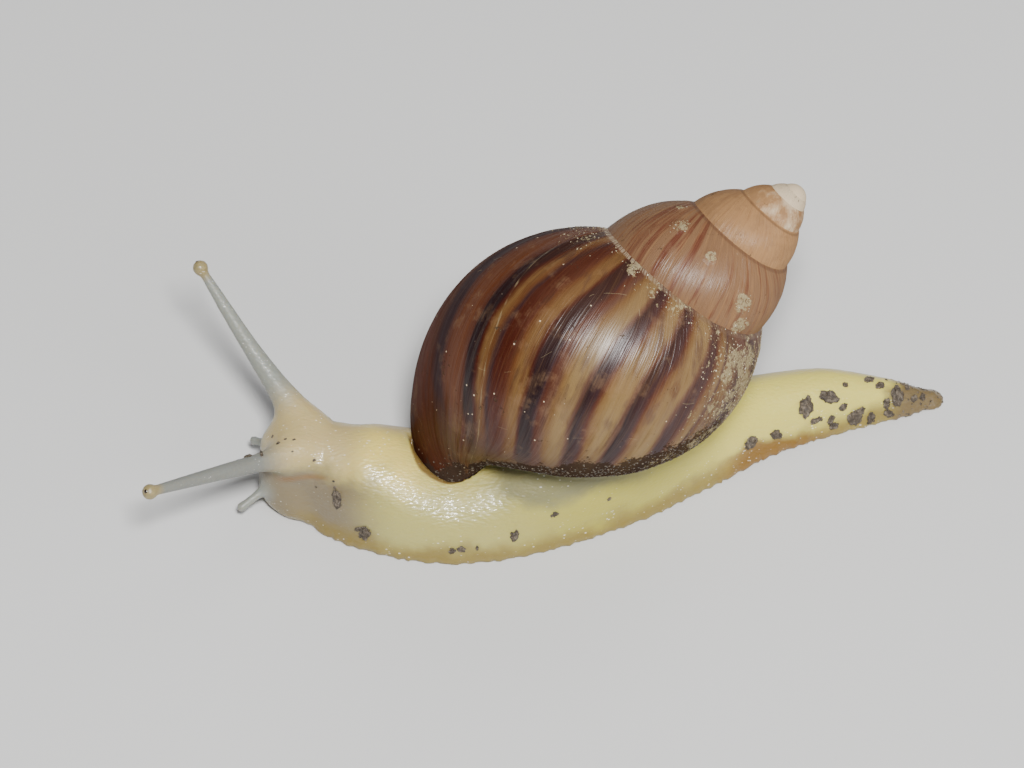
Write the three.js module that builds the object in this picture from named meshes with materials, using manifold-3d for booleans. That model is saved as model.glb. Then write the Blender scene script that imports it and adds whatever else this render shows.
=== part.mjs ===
// Giant African land snail, crawling with its tentacles out, at life size.
// Millimetres, +Z up. The sole lies flat on Z = 0 and the origin is on it, under the shell.
// The animal faces -Y, so its left side is at +X and its right side, where the shell opens, at -X.
import * as THREE from "three";
import { mergeVertices } from "three/addons/utils/BufferGeometryUtils.js";
import Module from "manifold-3d";

const wasm = await Module();
wasm.setup();

const GAP = 0.3; // between pieces that touch
const TURN = 2 * Math.PI;
const degrees = THREE.MathUtils.degToRad;

// ---------------------------------------------------------------- driving dimensions

// Shell. Whorls are counted from the tip. Sizes are those of the whorl that ends at LAST_WHORL.
const LIP_WHORL = 5.1; // the count at the outer lip
const LAST_WHORL = 5;
const WHORL_RADIUS = 20.1; // from the shell's axis to its widest place
const WHORL_DEPTH = 39.7; // from the apex down the axis to that widest place
const SHOULDER_LENGTH = 21.7; // from the widest place up to the top of the whorl's oval
const BASE_LENGTH = 22.8; // and down to its bottom
const RADIUS_GROWTH = 1.6; // per whorl
const DEPTH_GROWTH = 1.75;
const LENGTH_GROWTH = 1.59;
const BASE_FULLNESS = 1.9; // 2 is an ellipse, less is more pointed
const COLUMELLA = 0.14; // the pillar round the axis, as a share of the whorl's radius
const COLUMELLA_LENGTH = 0.5; // how far down the last oval the pillar reaches, as a share of its base
const APEX_WHORLS = 2; // the smooth first whorls, a node of their own
const SPIRE_WHORLS = 4.1; // where the body whorl begins
const SHELL_WALL = 0.9; // at the lip
const MOUTH_TURN = 0.15; // how much of a turn the hollow behind the lip goes in

// How the shell is carried.
const APEX_PLACE = new THREE.Vector3(-15.1, 25.6, 42.3);
const APEX_PITCH = degrees(36.3); // the apex points up by this
const APEX_YAW = degrees(25); // and this much to the animal's right of straight back

// Foot and body: where the middle of the sole runs, from the front of the foot to the tip of the tail.
const SOLE_PATH = [
  [-0.6, -39],
  [1.2, -30],
  [2.3, -21],
  [1.2, -12],
  [-2.6, 0],
  [-7.0, 10],
  [-11.2, 20],
  [-14.0, 30],
  [-15.2, 43.5],
];
// Half width of the sole and height of the back, at a share of the way along it.
const BODY_STATIONS = [
  { at: 0.0, width: 1.2, height: 1.2 },
  { at: 0.02, width: 4.6, height: 6.0 },
  { at: 0.05, width: 6.7, height: 9.6 },
  { at: 0.1, width: 8.2, height: 11.2 },
  { at: 0.17, width: 9.3, height: 10.0 },
  { at: 0.23, width: 9.8, height: 8.3 },
  { at: 0.3, width: 9.9, height: 9.6 },
  { at: 0.38, width: 9.6, height: 15.0 },
  { at: 0.5, width: 8.8, height: 16.0 },
  { at: 0.62, width: 7.6, height: 10.8 },
  { at: 0.72, width: 6.3, height: 8.0 },
  { at: 0.84, width: 4.6, height: 6.0 },
  { at: 0.95, width: 2.6, height: 3.4 },
  { at: 1.0, width: 1.0, height: 1.2 },
];
const BACK_SHARE = 0.95; // the rounded back's share of the width; the rest is the thin edge of the foot
const SKIRT_POWER = 10; // how quickly that edge thins out upwards

// Head, turned a little to the animal's right.
const HEAD_PLACE = new THREE.Vector3(-1.0, -38.6, 7.3);
const HEAD_SIZE = new THREE.Vector3(4.8, 5.4, 4.3); // half sizes across, along and up
const HEAD_YAW = degrees(9);
const LIPS_PLACE = new THREE.Vector3(-0.2, -41.2, 3.9);
const LIPS_SIZE = new THREE.Vector3(3.7, 2.8, 3.5);

// Tentacles: roots lie inside the head. Radii are at the root, half way and under the tip.
// Looks is the way that the eye faces from the middle of the knob.
const UPPER_TENTACLES = {
  left: {
    root: [1.2, -39.4, 8.9],
    tip: [13.8, -57.4, 16.6],
    radii: [2.2, 1.0, 0.62],
    sag: 0.1,
    looks: [0.5, -0.5, 0.7],
  },
  right: {
    root: [-3.8, -38.4, 9.0],
    tip: [-18.7, -51.7, 22.5],
    radii: [2.4, 1.05, 0.56],
    sag: -0.8,
    looks: [-0.62, -0.5, 0.6],
  },
};
const LOWER_TENTACLES = {
  left: { root: [1.6, -41.4, 4.4], tip: [4.7, -46.4, 2.3], radii: [0.85, 0.55, 0.48], sag: 0.1 },
  right: { root: [-3.4, -41.4, 4.6], tip: [-6.0, -45.0, 2.8], radii: [0.85, 0.55, 0.48], sag: 0.1 },
};
const KNOB_RADIUS = 1.0; // at the tip of an upper tentacle
const EYE_RADIUS = 0.4;
const EYE_OFFSET = 0.82; // the eye's middle, as a share of the knob's radius
const EYE_GAP = 0.1;

// Where the flesh is parted: shares of the way along the sole, and heights.
const HEAD_END = 0.09;
const NECK_END = 0.27;
const FOOT_MIDDLE_END = 0.42;
const STALK_END = 0.62;
const TAIL_START = 0.8;
const FOOT_TOP = 3.4; // above it the neck and the stalk, below it the foot

// Fineness.
const WHORL_STEPS = 16; // per whorl
const WHORL_ARC = 9;
const LONGEST_SWEEP = 0.5; // whorls, so that a sweep never runs into itself
const BODY_STEPS = 32;
const BODY_ROUND = 20;
const STEM_STEPS = 11; // an upper tentacle's
const STUB_STEPS = 5; // a lower one's
const TENTACLE_ROUND = 10;

// ---------------------------------------------------------------- solids

function solid(geometry, matrix) {
  const bare = new THREE.BufferGeometry();
  const loose = geometry.index ? geometry.toNonIndexed() : geometry;
  bare.setAttribute("position", loose.getAttribute("position"));
  if (matrix) bare.applyMatrix4(matrix);
  const merged = mergeVertices(bare, 1e-4);
  const mesh = new wasm.Mesh({
    numProp: 3,
    vertProperties: merged.getAttribute("position").array,
    triVerts: new Uint32Array(merged.index.array),
  });
  return new wasm.Manifold(mesh);
}

function geometryOf(manifold) {
  const mesh = manifold.getMesh();
  const geometry = new THREE.BufferGeometry();
  geometry.setAttribute("position", new THREE.BufferAttribute(new Float32Array(mesh.vertProperties), 3));
  geometry.setIndex(new THREE.BufferAttribute(new Uint32Array(mesh.triVerts), 1));
  geometry.computeVertexNormals();
  return geometry;
}

const joined = (pieces) => pieces.reduce((whole, piece) => whole.add(piece));

// The biggest outer surface, without crumbs and with anything hollow inside it filled.
const largest = (manifold) => manifold.decompose().sort((a, b) => b.volume() - a.volume())[0];

// A section extruded from 0 to 1 and then bent: place(x, y, t) says where each of its points goes.
function loft(section, steps, place) {
  const geometry = new THREE.ExtrudeGeometry(section, { depth: 1, steps, bevelEnabled: false });
  const position = geometry.getAttribute("position");
  const point = new THREE.Vector3();
  for (let i = 0; i < position.count; i += 1) {
    point.fromBufferAttribute(position, i);
    const moved = place(point.x, point.y, Math.min(1, Math.max(0, point.z)));
    position.setXYZ(i, moved.x, moved.y, moved.z);
  }
  return geometry;
}

function circle(count) {
  const points = [];
  for (let i = 0; i < count; i += 1) {
    const angle = (TURN * i) / count;
    points.push(new THREE.Vector2(Math.cos(angle), Math.sin(angle)));
  }
  return new THREE.Shape(points);
}

// ---------------------------------------------------------------- shell

// The oval of the shell's wall at one place of its growth.
function whorlAt(count, swell) {
  const age = count - LAST_WHORL;
  return {
    inner: WHORL_RADIUS * RADIUS_GROWTH ** age * COLUMELLA - swell,
    radius: WHORL_RADIUS * RADIUS_GROWTH ** age + swell,
    centre: WHORL_DEPTH * DEPTH_GROWTH ** age,
    shoulder: SHOULDER_LENGTH * LENGTH_GROWTH ** age + swell,
    base: BASE_LENGTH * LENGTH_GROWTH ** age + swell,
  };
}

// The half oval that is swept: x is the distance from the axis, y the height along it, both from 0 to 1.
function whorlSection() {
  const points = [];
  const edge = Math.acos(COLUMELLA);
  for (let i = 0; i <= WHORL_ARC; i += 1) {
    const angle = -edge + (2 * edge * i) / WHORL_ARC;
    points.push(new THREE.Vector2(Math.cos(angle), Math.sin(angle)));
  }
  return new THREE.Shape(points);
}

// The wall from one whorl count to another, with its axis on Z, the apex at 0 and the base towards +Z.
// The lip is at +X, and the shell grows from +X towards +Y.
function whorls(from, to, swell = 0) {
  const first = from - swell / (TURN * whorlAt(from, 0).radius);
  const last = to + swell / (TURN * whorlAt(to, 0).radius);
  const pieces = [];
  const parts = Math.ceil((to - from) / LONGEST_SWEEP);
  for (let i = 0; i < parts; i += 1) {
    const start = THREE.MathUtils.lerp(first, last, i / parts);
    const end = THREE.MathUtils.lerp(first, last, (i + 1) / parts);
    const overlap = i < parts - 1 ? 1 / WHORL_STEPS : 0;
    const span = end + overlap - start;
    const steps = Math.max(3, Math.round(span * WHORL_STEPS));
    const swept = loft(whorlSection(), steps, (x, y, t) => {
      const count = start + span * (1 - t);
      const oval = whorlAt(count, swell);
      const power = y > 0 ? 2 / BASE_FULLNESS : 1;
      const radius = Math.max(oval.inner, oval.radius * x ** power);
      const depth = oval.centre + (y > 0 ? oval.base * y ** power : oval.shoulder * y);
      const angle = TURN * (count - LIP_WHORL);
      return new THREE.Vector3(radius * Math.cos(angle), radius * Math.sin(angle), depth);
    });
    pieces.push(solid(swept));
  }
  return joined(pieces);
}

// The pillar that closes the middle of the whorls.
function pillar(from, to, swell = 0, reach = 1) {
  const top = whorlAt(from, 0);
  const end = whorlAt(to, 0);
  const share = COLUMELLA * 1.3;
  const bottom = end.centre + end.base * reach + swell;
  const profile = [
    new THREE.Vector2(0, top.centre - swell),
    new THREE.Vector2(top.radius * share + swell, top.centre - swell),
    new THREE.Vector2(end.radius * share + swell, bottom),
    new THREE.Vector2(0, bottom),
  ];
  const turned = new THREE.LatheGeometry(profile, 12);
  return solid(turned, new THREE.Matrix4().makeRotationX(Math.PI / 2));
}

function tipBall(swell = 0) {
  const first = whorlAt(0, swell);
  const ball = new THREE.SphereGeometry(1, 16, 10);
  ball.scale(first.radius, first.radius, first.shoulder);
  ball.translate(0, 0, first.centre);
  return solid(ball);
}

const apexSolid = (swell = 0) => (
  largest(joined([tipBall(swell), whorls(0, APEX_WHORLS, swell), pillar(0, APEX_WHORLS, swell)]))
);
const spireSolid = (swell = 0) => (
  largest(joined([whorls(APEX_WHORLS, SPIRE_WHORLS, swell), pillar(1, SPIRE_WHORLS, swell)]))
);
const bodyWhorlSolid = (swell = 0) => (
  largest(whorls(SPIRE_WHORLS, LIP_WHORL, swell).add(pillar(3, LIP_WHORL, swell, COLUMELLA_LENGTH)))
);

// What the last part of the body whorl holds behind the lip, kept off its wall and off the whorls inside.
const mouthSolid = (offWall, from, to) => (
  whorls(from, to, -offWall)
    .subtract(spireSolid(offWall))
    .subtract(pillar(3, LIP_WHORL, offWall, COLUMELLA_LENGTH))
);

// The apex to the shell's own frame: lip at +X, growth from +X towards +Y, base at +Z.
const toApex = new THREE.Vector3(
  -Math.sin(APEX_YAW) * Math.cos(APEX_PITCH),
  Math.cos(APEX_YAW) * Math.cos(APEX_PITCH),
  Math.sin(APEX_PITCH),
);
const toLip = new THREE.Vector3(-Math.cos(APEX_YAW), -Math.sin(APEX_YAW), 0);
const toGround = new THREE.Vector3().crossVectors(toLip, toApex);
const shellPose = new THREE.Matrix4()
  .makeBasis(toLip, toGround, toApex.clone().negate())
  .setPosition(APEX_PLACE);

function shellParts() {
  const apex = apexSolid();
  const spire = spireSolid().subtract(apexSolid(GAP));
  const hollow = mouthSolid(SHELL_WALL, LIP_WHORL - MOUTH_TURN, LIP_WHORL + MOUTH_TURN);
  const bodyWhorl = bodyWhorlSolid()
    .subtract(spireSolid(GAP))
    .subtract(apexSolid(GAP))
    .subtract(hollow);
  return { apex, spire: largest(spire), bodyWhorl: largest(bodyWhorl) };
}

// ---------------------------------------------------------------- flesh

const solePath = new THREE.CatmullRomCurve3(
  SOLE_PATH.map(([x, y]) => new THREE.Vector3(x, y, 0)),
);
solePath.arcLengthDivisions = 400;

function bodyAt(share) {
  let i = 1;
  while (i < BODY_STATIONS.length - 1 && BODY_STATIONS[i].at < share) i += 1;
  const before = BODY_STATIONS[i - 1];
  const after = BODY_STATIONS[i];
  const t = (share - before.at) / (after.at - before.at);
  return {
    width: THREE.MathUtils.lerp(before.width, after.width, t),
    height: THREE.MathUtils.lerp(before.height, after.height, t),
  };
}

// Across is -1 at the left edge of the sole and 1 at the right; up is 0 to 1 over the back, and below 0 on the sole.
function bodyPlace(across, up, share) {
  const centre = solePath.getPointAt(share);
  const back = solePath.getTangentAt(share);
  const size = bodyAt(share);
  const round = BACK_SHARE * across;
  const skirt = (1 - BACK_SHARE) * Math.sign(across) * Math.abs(across) ** SKIRT_POWER;
  const side = -size.width * (up >= 0 ? round + skirt : across);
  return new THREE.Vector3(
    centre.x + back.y * side,
    centre.y - back.x * side,
    size.height * Math.max(0, up),
  );
}

// Stations crowd towards both ends, where the foot is rounded.
const crowd = (t) => t + 0.11 * Math.sin(TURN * t) * -1;

const trunk = () => (
  solid(loft(circle(BODY_ROUND), BODY_STEPS, (x, y, t) => bodyPlace(x, y, crowd(t))))
);

function ball(place, size, yaw = 0, round = 18) {
  const matrix = new THREE.Matrix4().compose(
    place,
    new THREE.Quaternion().setFromAxisAngle(new THREE.Vector3(0, 0, 1), yaw),
    size,
  );
  return solid(new THREE.SphereGeometry(1, round, round * 0.6), matrix);
}

const sphere = (place, radius, round) => (
  ball(place, new THREE.Vector3(radius, radius, radius), 0, round)
);

// A tentacle as a bent, tapering loft.
function tentacleStem({ root, tip, radii, sag }, steps) {
  const start = new THREE.Vector3(...root);
  const end = new THREE.Vector3(...tip);
  const middle = start.clone().lerp(end, 0.5);
  middle.z += sag;
  const curve = new THREE.CatmullRomCurve3([start, middle, end]);
  const [wide, half, narrow] = radii;
  const flare = 0.4;
  const radiusAt = (t) => (
    t < flare
      ? THREE.MathUtils.lerp(wide, half, Math.sin((Math.PI / 2) * (t / flare)))
      : THREE.MathUtils.lerp(half, narrow, (t - flare) / (1 - flare))
  );
  const stem = loft(circle(TENTACLE_ROUND), steps, (x, y, t) => {
    const along = curve.getTangentAt(t);
    const across = new THREE.Vector3().crossVectors(along, new THREE.Vector3(0, 0, 1)).normalize();
    const up = new THREE.Vector3().crossVectors(across, along);
    const radius = radiusAt(t);
    return curve.getPointAt(t)
      .addScaledVector(across, -x * radius)
      .addScaledVector(up, y * radius);
  });
  return solid(stem);
}

// An upper tentacle has a round knob with the eye in a pit on its side; a lower one has a blunt tip.
function upperTentacle(sizes) {
  const tip = new THREE.Vector3(...sizes.tip);
  const looks = new THREE.Vector3(...sizes.looks).normalize();
  const eyePlace = tip.clone().addScaledVector(looks, EYE_OFFSET * KNOB_RADIUS);
  const whole = tentacleStem(sizes, STEM_STEPS).add(sphere(tip, KNOB_RADIUS, 12));
  return {
    whole: whole.subtract(sphere(eyePlace, EYE_RADIUS + EYE_GAP, 10)),
    eye: sphere(eyePlace, EYE_RADIUS, 10),
  };
}

function lowerTentacle(sizes) {
  const tip = new THREE.Vector3(...sizes.tip);
  return tentacleStem(sizes, STUB_STEPS).add(sphere(tip, sizes.radii[2] * 1.15, 10));
}

// The flesh between two shares of the way along the sole.
function between(manifold, from, to) {
  let piece = manifold;
  if (from > 0) {
    const place = solePath.getPointAt(from);
    const along = solePath.getTangentAt(from);
    piece = piece.trimByPlane([along.x, along.y, 0], along.dot(place) + GAP / 2);
  }
  if (to < 1) {
    const place = solePath.getPointAt(to);
    const along = solePath.getTangentAt(to);
    piece = piece.trimByPlane([-along.x, -along.y, 0], -along.dot(place) + GAP / 2);
  }
  return largest(piece);
}

const above = (manifold, height) => manifold.trimByPlane([0, 0, 1], height + GAP / 2);
const below = (manifold, height) => manifold.trimByPlane([0, 0, -1], -height + GAP / 2);

function fleshParts() {
  const inWorld = (manifold) => manifold.transform(shellPose.toArray());
  const shellSpace = inWorld(joined([apexSolid(GAP), spireSolid(GAP), bodyWhorlSolid(GAP)]));
  const collarFrom = LIP_WHORL - MOUTH_TURN + 0.01;
  const collar = largest(inWorld(mouthSolid(SHELL_WALL + GAP, collarFrom, LIP_WHORL)));
  const body = joined([
    trunk(),
    ball(HEAD_PLACE, HEAD_SIZE, -HEAD_YAW),
    ball(LIPS_PLACE, LIPS_SIZE, -HEAD_YAW, 14),
  ]).subtract(shellSpace);
  const grown = joined([
    ball(HEAD_PLACE, HEAD_SIZE.clone().addScalar(GAP), -HEAD_YAW),
    ball(LIPS_PLACE, LIPS_SIZE.clone().addScalar(GAP), -HEAD_YAW, 14),
    body,
  ]);
  const upper = above(body, FOOT_TOP);
  const lower = below(body, FOOT_TOP);
  const outside = (tentacle) => largest(tentacle.subtract(grown));
  const left = upperTentacle(UPPER_TENTACLES.left);
  const right = upperTentacle(UPPER_TENTACLES.right);
  return {
    head: between(upper, 0, HEAD_END),
    neck: between(upper, HEAD_END, NECK_END),
    body_stalk: between(upper, NECK_END, STALK_END),
    foot_front: between(lower, 0, NECK_END),
    foot_middle: between(lower, NECK_END, FOOT_MIDDLE_END),
    foot_rear: between(lower, FOOT_MIDDLE_END, STALK_END),
    tail_base: between(body, STALK_END, TAIL_START),
    tail_tip: between(body, TAIL_START, 1),
    mantle_collar: collar,
    tentacle_upper_left: outside(left.whole),
    tentacle_upper_right: outside(right.whole),
    tentacle_lower_left: outside(lowerTentacle(LOWER_TENTACLES.left)),
    tentacle_lower_right: outside(lowerTentacle(LOWER_TENTACLES.right)),
    eye_left: left.eye,
    eye_right: right.eye,
  };
}

// ---------------------------------------------------------------- the snail

const material = (color, roughness) => new THREE.MeshStandardMaterial({ color, roughness, metalness: 0 });

function mesh(name, manifold, look) {
  const made = new THREE.Mesh(geometryOf(manifold), look);
  made.name = name;
  return made;
}

function buildSnail() {
  const looks = {
    flesh: material(0xd9d0a4, 0.35),
    collar: material(0xb9a070, 0.4),
    eye: material(0x15110f, 0.15),
    bodyWhorl: material(0x6b3a28, 0.3),
    spire: material(0xa8754f, 0.45),
    apex: material(0xe0d0b4, 0.6),
  };
  const snail = new THREE.Group();
  const shell = new THREE.Group();
  shell.applyMatrix4(shellPose);
  const { apex, spire, bodyWhorl } = shellParts();
  shell.add(mesh("shell_body_whorl", bodyWhorl, looks.bodyWhorl));
  shell.add(mesh("shell_spire", spire, looks.spire));
  shell.add(mesh("shell_apex", apex, looks.apex));
  snail.add(shell);
  for (const [name, manifold] of Object.entries(fleshParts())) {
    const look = name.startsWith("eye") ? looks.eye : looks.flesh;
    snail.add(mesh(name, manifold, name === "mantle_collar" ? looks.collar : look));
  }
  return snail;
}

export default buildSnail();
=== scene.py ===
"""A giant African land snail, life size, crawling with its tentacles out. Metres, +Z up.

The animal faces -Y. Its left side is at +X, and its sole lies flat on Z = 0.
"""

import math
import random

import bmesh
import bpy
import numpy as np
import openvdb
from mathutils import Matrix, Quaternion, Vector, noise
from mathutils.bvhtree import BVHTree


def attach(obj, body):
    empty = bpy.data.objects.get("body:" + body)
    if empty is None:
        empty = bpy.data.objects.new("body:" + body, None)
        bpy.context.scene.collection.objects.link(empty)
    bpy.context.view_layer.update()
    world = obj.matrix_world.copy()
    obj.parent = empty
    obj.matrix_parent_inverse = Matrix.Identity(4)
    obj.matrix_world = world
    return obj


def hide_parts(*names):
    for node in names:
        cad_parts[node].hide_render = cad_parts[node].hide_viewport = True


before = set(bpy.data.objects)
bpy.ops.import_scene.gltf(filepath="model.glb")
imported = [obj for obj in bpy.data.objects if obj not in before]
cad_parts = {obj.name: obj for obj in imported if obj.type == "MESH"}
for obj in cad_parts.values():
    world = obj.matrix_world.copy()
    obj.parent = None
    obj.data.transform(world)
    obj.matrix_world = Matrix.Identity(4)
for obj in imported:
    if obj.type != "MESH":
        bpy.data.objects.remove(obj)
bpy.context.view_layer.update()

MM = 0.001
TURN = 2 * math.pi


# ---------------- the shell's growth, in millimetres

# Whorls are counted from the tip. Sizes are those of the whorl that ends at LAST_WHORL.
LIP_WHORL = 5.1
LAST_WHORL = 5.0
WHORL_RADIUS = 20.1
WHORL_DEPTH = 39.7
SHOULDER_LENGTH = 21.7
BASE_LENGTH = 22.8
RADIUS_GROWTH = 1.6
DEPTH_GROWTH = 1.75
LENGTH_GROWTH = 1.59
BASE_FULLNESS = 1.9
SHELL_WALL = 0.7

APEX_PLACE = np.array([-15.1, 25.6, 42.3])
APEX_PITCH = math.radians(36.3)
APEX_YAW = math.radians(25)

TO_APEX = np.array([
    -math.sin(APEX_YAW) * math.cos(APEX_PITCH),
    math.cos(APEX_YAW) * math.cos(APEX_PITCH),
    math.sin(APEX_PITCH),
])
TO_LIP = np.array([-math.cos(APEX_YAW), -math.sin(APEX_YAW), 0.0])
TO_GROUND = np.cross(TO_LIP, TO_APEX)

# Across a whorl, angles run from its shoulder (negative) over its widest place (0) to its base.
AXIS_ANGLE = -89.0
SHOULDER_ANGLE = -57.0
SUTURE_ANGLE = -50.0
BASE_ANGLE = 89.5
SPIRE_END_ANGLE = 3.0
ROWS_PER_WHORL = 360
UPPER_COLUMNS = 26
LOWER_COLUMNS = 48
LOWER_START = 3.95
LIP_INSIDE = 0.16
LIP_INSIDE_ROWS = 30
UPPER_KEPT = 5
LOWER_KEPT = 6
BEADS_PER_WHORL = 44
DOME_ROUNDS = 48
DOME_RINGS = 20

# Height in millimetres, ripples along a whorl, and seed.
GROWTH_RIPPLES = [(0.10, 26, 3.1), (0.06, 75, 8.4)]
# Where the shell stopped growing for a while: whorl count, height of the ridge, reach along the whorl.
GROWTH_STOPS = [
    (4.882, 0.16, 0.004), (4.79, 0.06, 0.005), (4.665, 0.08, 0.003), (4.41, 0.12, 0.004),
    (4.02, 0.09, 0.004),
]
# Worn or limy spots on the spire: growth, angle across, radius in millimetres.
PALE_SPOTS = [
    (3.823, -33.6, 1.25), (3.724, -34.5, 0.9), (3.871, -42.0, 0.8), (3.62, -22.0, 1.5), (3.60, -8.0, 1.5),
]


def growth_lag(angle, growth=LIP_WHORL):
    """How far a line of growth runs ahead of the whorl count where it crosses the widest place."""
    steep = np.clip((-25.0 - angle) / 25.0, 0.0, None)
    low = np.clip((angle - 38.0) / 30.0, 0.0, None)
    older = 1.0 - 0.85 * np.clip((growth - 4.7) / 0.36, 0.0, 1.0)
    return -0.0012 * angle + 0.03 * steep ** 2 + 0.055 * low ** 2 * older


def about_axis(out, turn, depth):
    """Points at distances out from the shell's axis, turned from the lip, at depths below the apex."""
    return (
        APEX_PLACE
        + (out * np.cos(turn))[..., None] * TO_LIP
        + (out * np.sin(turn))[..., None] * TO_GROUND
        - depth[..., None] * TO_APEX
    )


def whorl_sizes(age):
    """A whorl's radius, its depth below the apex, and its reach to the shoulder and to the base."""
    scale = LENGTH_GROWTH ** age
    radius = WHORL_RADIUS * RADIUS_GROWTH ** age
    return radius, WHORL_DEPTH * DEPTH_GROWTH ** age, SHOULDER_LENGTH * scale, BASE_LENGTH * scale


def shell_surface(growth, angle):
    """Points of the shell's outside, where a line of growth crosses an angle across the whorl."""
    count = growth + growth_lag(angle, growth)
    across = np.radians(angle)
    radius, centre, shoulder, base = whorl_sizes(count - LAST_WHORL)
    power = 2 / BASE_FULLNESS
    low = np.sin(across) > 0
    sine = np.abs(np.sin(across))
    cosine = np.clip(np.cos(across), 1e-6, None)
    out = radius * np.where(low, cosine ** power, cosine)
    depth = centre + np.where(low, base * sine ** power, -shoulder * sine)
    return about_axis(out, TURN * (count - LIP_WHORL), depth)


def new_object(name, data):
    """An object in the scene."""
    made = bpy.data.objects.new(name, data)
    bpy.context.scene.collection.objects.link(made)
    return made


def mesh_object(name, points, faces, attributes):
    """A smooth mesh object from points in millimetres, with one number for each point in each attribute."""
    data = bpy.data.meshes.new(name)
    data.from_pydata((np.asarray(points) * MM).tolist(), [], faces)
    data.update()
    for label, values in attributes.items():
        layer = data.attributes.new(label, "FLOAT", "POINT")
        layer.data.foreach_set("value", np.asarray(values, dtype=np.float32).ravel())
    data.polygons.foreach_set("use_smooth", np.ones(len(data.polygons), dtype=bool))
    return new_object(name, data)


def grid_faces(index):
    """Quads of a grid of point numbers."""
    a, b = index[:-1, :-1], index[1:, :-1]
    c, d = index[1:, 1:], index[:-1, 1:]
    return np.stack([a, b, c, d], axis=-1).reshape(-1, 4).tolist()


def shell_normals(growth, angle):
    """The direction out of the shell at each of its points."""
    step = 1e-3
    along = shell_surface(growth + step, angle) - shell_surface(growth - step, angle)
    across = shell_surface(growth, np.minimum(angle + 0.1, 89.9)) - shell_surface(growth, angle - 0.1)
    out = np.cross(along, across)
    return out / (np.linalg.norm(out, axis=-1, keepdims=True) + 1e-12)


def ripple(values, rate, seed):
    """Smooth random numbers between -1 and 1 along a row of values."""
    return np.array([noise.noise(Vector((v * rate, seed, 0.37))) for v in values])


def growth_relief(rows):
    """How far the lines of growth stand out, in millimetres, for each row of the shell's surface."""
    relief = sum(height * ripple(rows, rate, seed) for height, rate, seed in GROWTH_RIPPLES)
    for place, height, reach in GROWTH_STOPS:
        relief += height * np.exp(-((rows - place) / reach) ** 2)
    return relief


def tip_dome():
    """The round start of the shell, which closes the first whorl."""
    wide, centre, long, _ = whorl_sizes(-LAST_WHORL)
    slopes = np.linspace(-math.pi / 2 + 0.02, 0.6, DOME_RINGS)
    turn, slope = np.meshgrid(np.linspace(0, TURN, DOME_ROUNDS + 1), slopes)
    points = about_axis(wide * np.cos(slope), turn, centre + long * np.sin(slope))
    index = numbered(slope[:, :-1], 0)
    wrapped = np.concatenate([index, index[:, :1]], axis=1)
    faces = grid_faces(wrapped)
    faces += [index[0].tolist(), index[-1][::-1].tolist()]
    return points[:, :-1].reshape(-1, 3), faces


def inside_wall(growth, angle, share=1.0):
    """Points of the wall's inside, thinner in the small whorls and at the middle of the base."""
    scale = LENGTH_GROWTH ** (growth - LAST_WHORL)
    narrow = np.clip((89.6 - angle) / 12.0, 0.05, 1.0)
    wall = SHELL_WALL * scale * narrow * share
    return shell_surface(growth, angle) - shell_normals(growth, angle) * wall[..., None]


def hidden_wall(source, growth, angle, points):
    """Adds the wall's inside behind a grid of outside points, and gives its own grid of numbers."""
    made = inside_wall(growth[source], angle[source])
    return numbered(source, len(points)), np.concatenate([points, made.reshape(-1, 3)])


def edge_strip(outer, inner):
    """Faces that join two rows of point numbers."""
    return np.stack([outer[:-1], outer[1:], inner[1:], inner[:-1]], axis=1).tolist()


def ease(values, low, high):
    """A smooth step from 0 at low to 1 at high."""
    share = np.clip((values - low) / (high - low), 0.0, 1.0)
    return share * share * (3 - 2 * share)


def dust_zone(growth, angle, points):
    """Where pale dust lies on the shell, from 0 to 1."""
    behind = ease(growth, 4.66, 4.53) * ease(growth, 4.08, 4.30) * ease(angle, -56.0, -44.0)
    suture = ease(angle, -36.0, -48.0) * ease(growth, 3.9, 4.1) * (0.45 + 0.25 * ease(growth, 4.86, 4.70))
    shoulder = ease(angle, -24.0, -44.0) * ease(growth, 4.80, 4.87) * 0.72
    zone = np.maximum(np.maximum(behind, suture), shoulder)
    for at, across, radius in PALE_SPOTS:
        centre = shell_surface(np.array(at), np.array(across))
        away = np.linalg.norm(points - centre, axis=-1) / radius
        zone = np.maximum(zone, 1.25 * ease(away, 1.35, 0.6))
    return zone


def crust_zone(growth, angle):
    """Where a dark crust of soil clings under the shell, from 0 to 1."""
    edge = 36.0 + (growth - 4.716) * 310.0
    under = ease(angle, edge - 6.0, edge + 12.0) * ease(growth, 4.45, 4.56) * ease(growth, 4.95, 4.88)
    lip = ease(angle, 68.0, 82.0) * ease(growth, 4.82, 4.90)
    return np.maximum(under, lip)


def raised_outside(growth, angle, height):
    """Points of the outside with its lines of growth, and the beaded thread along the suture."""
    scale = LENGTH_GROWTH ** (growth - LAST_WHORL)
    fade = np.clip((angle - SUTURE_ANGLE) / 14, 0.15, 1) * np.clip((88 - angle) / 30, 0, 1)
    thread = 0.08 * np.exp(-((angle - SUTURE_ANGLE - 1.5) / 1.6) ** 2)
    beads = 0.4 + 0.6 * (0.5 + 0.5 * np.sin(growth * TURN * BEADS_PER_WHORL))
    rise = (height * fade + thread * beads) * scale * np.clip((growth - 1.5) / 1.0, 0, 1)
    return shell_surface(growth, angle) + shell_normals(growth, angle) * rise[:, None]


def numbered(grid, start):
    """Numbers for the points of a grid, counted on from a start."""
    return start + np.arange(grid.size).reshape(grid.shape)


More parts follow.
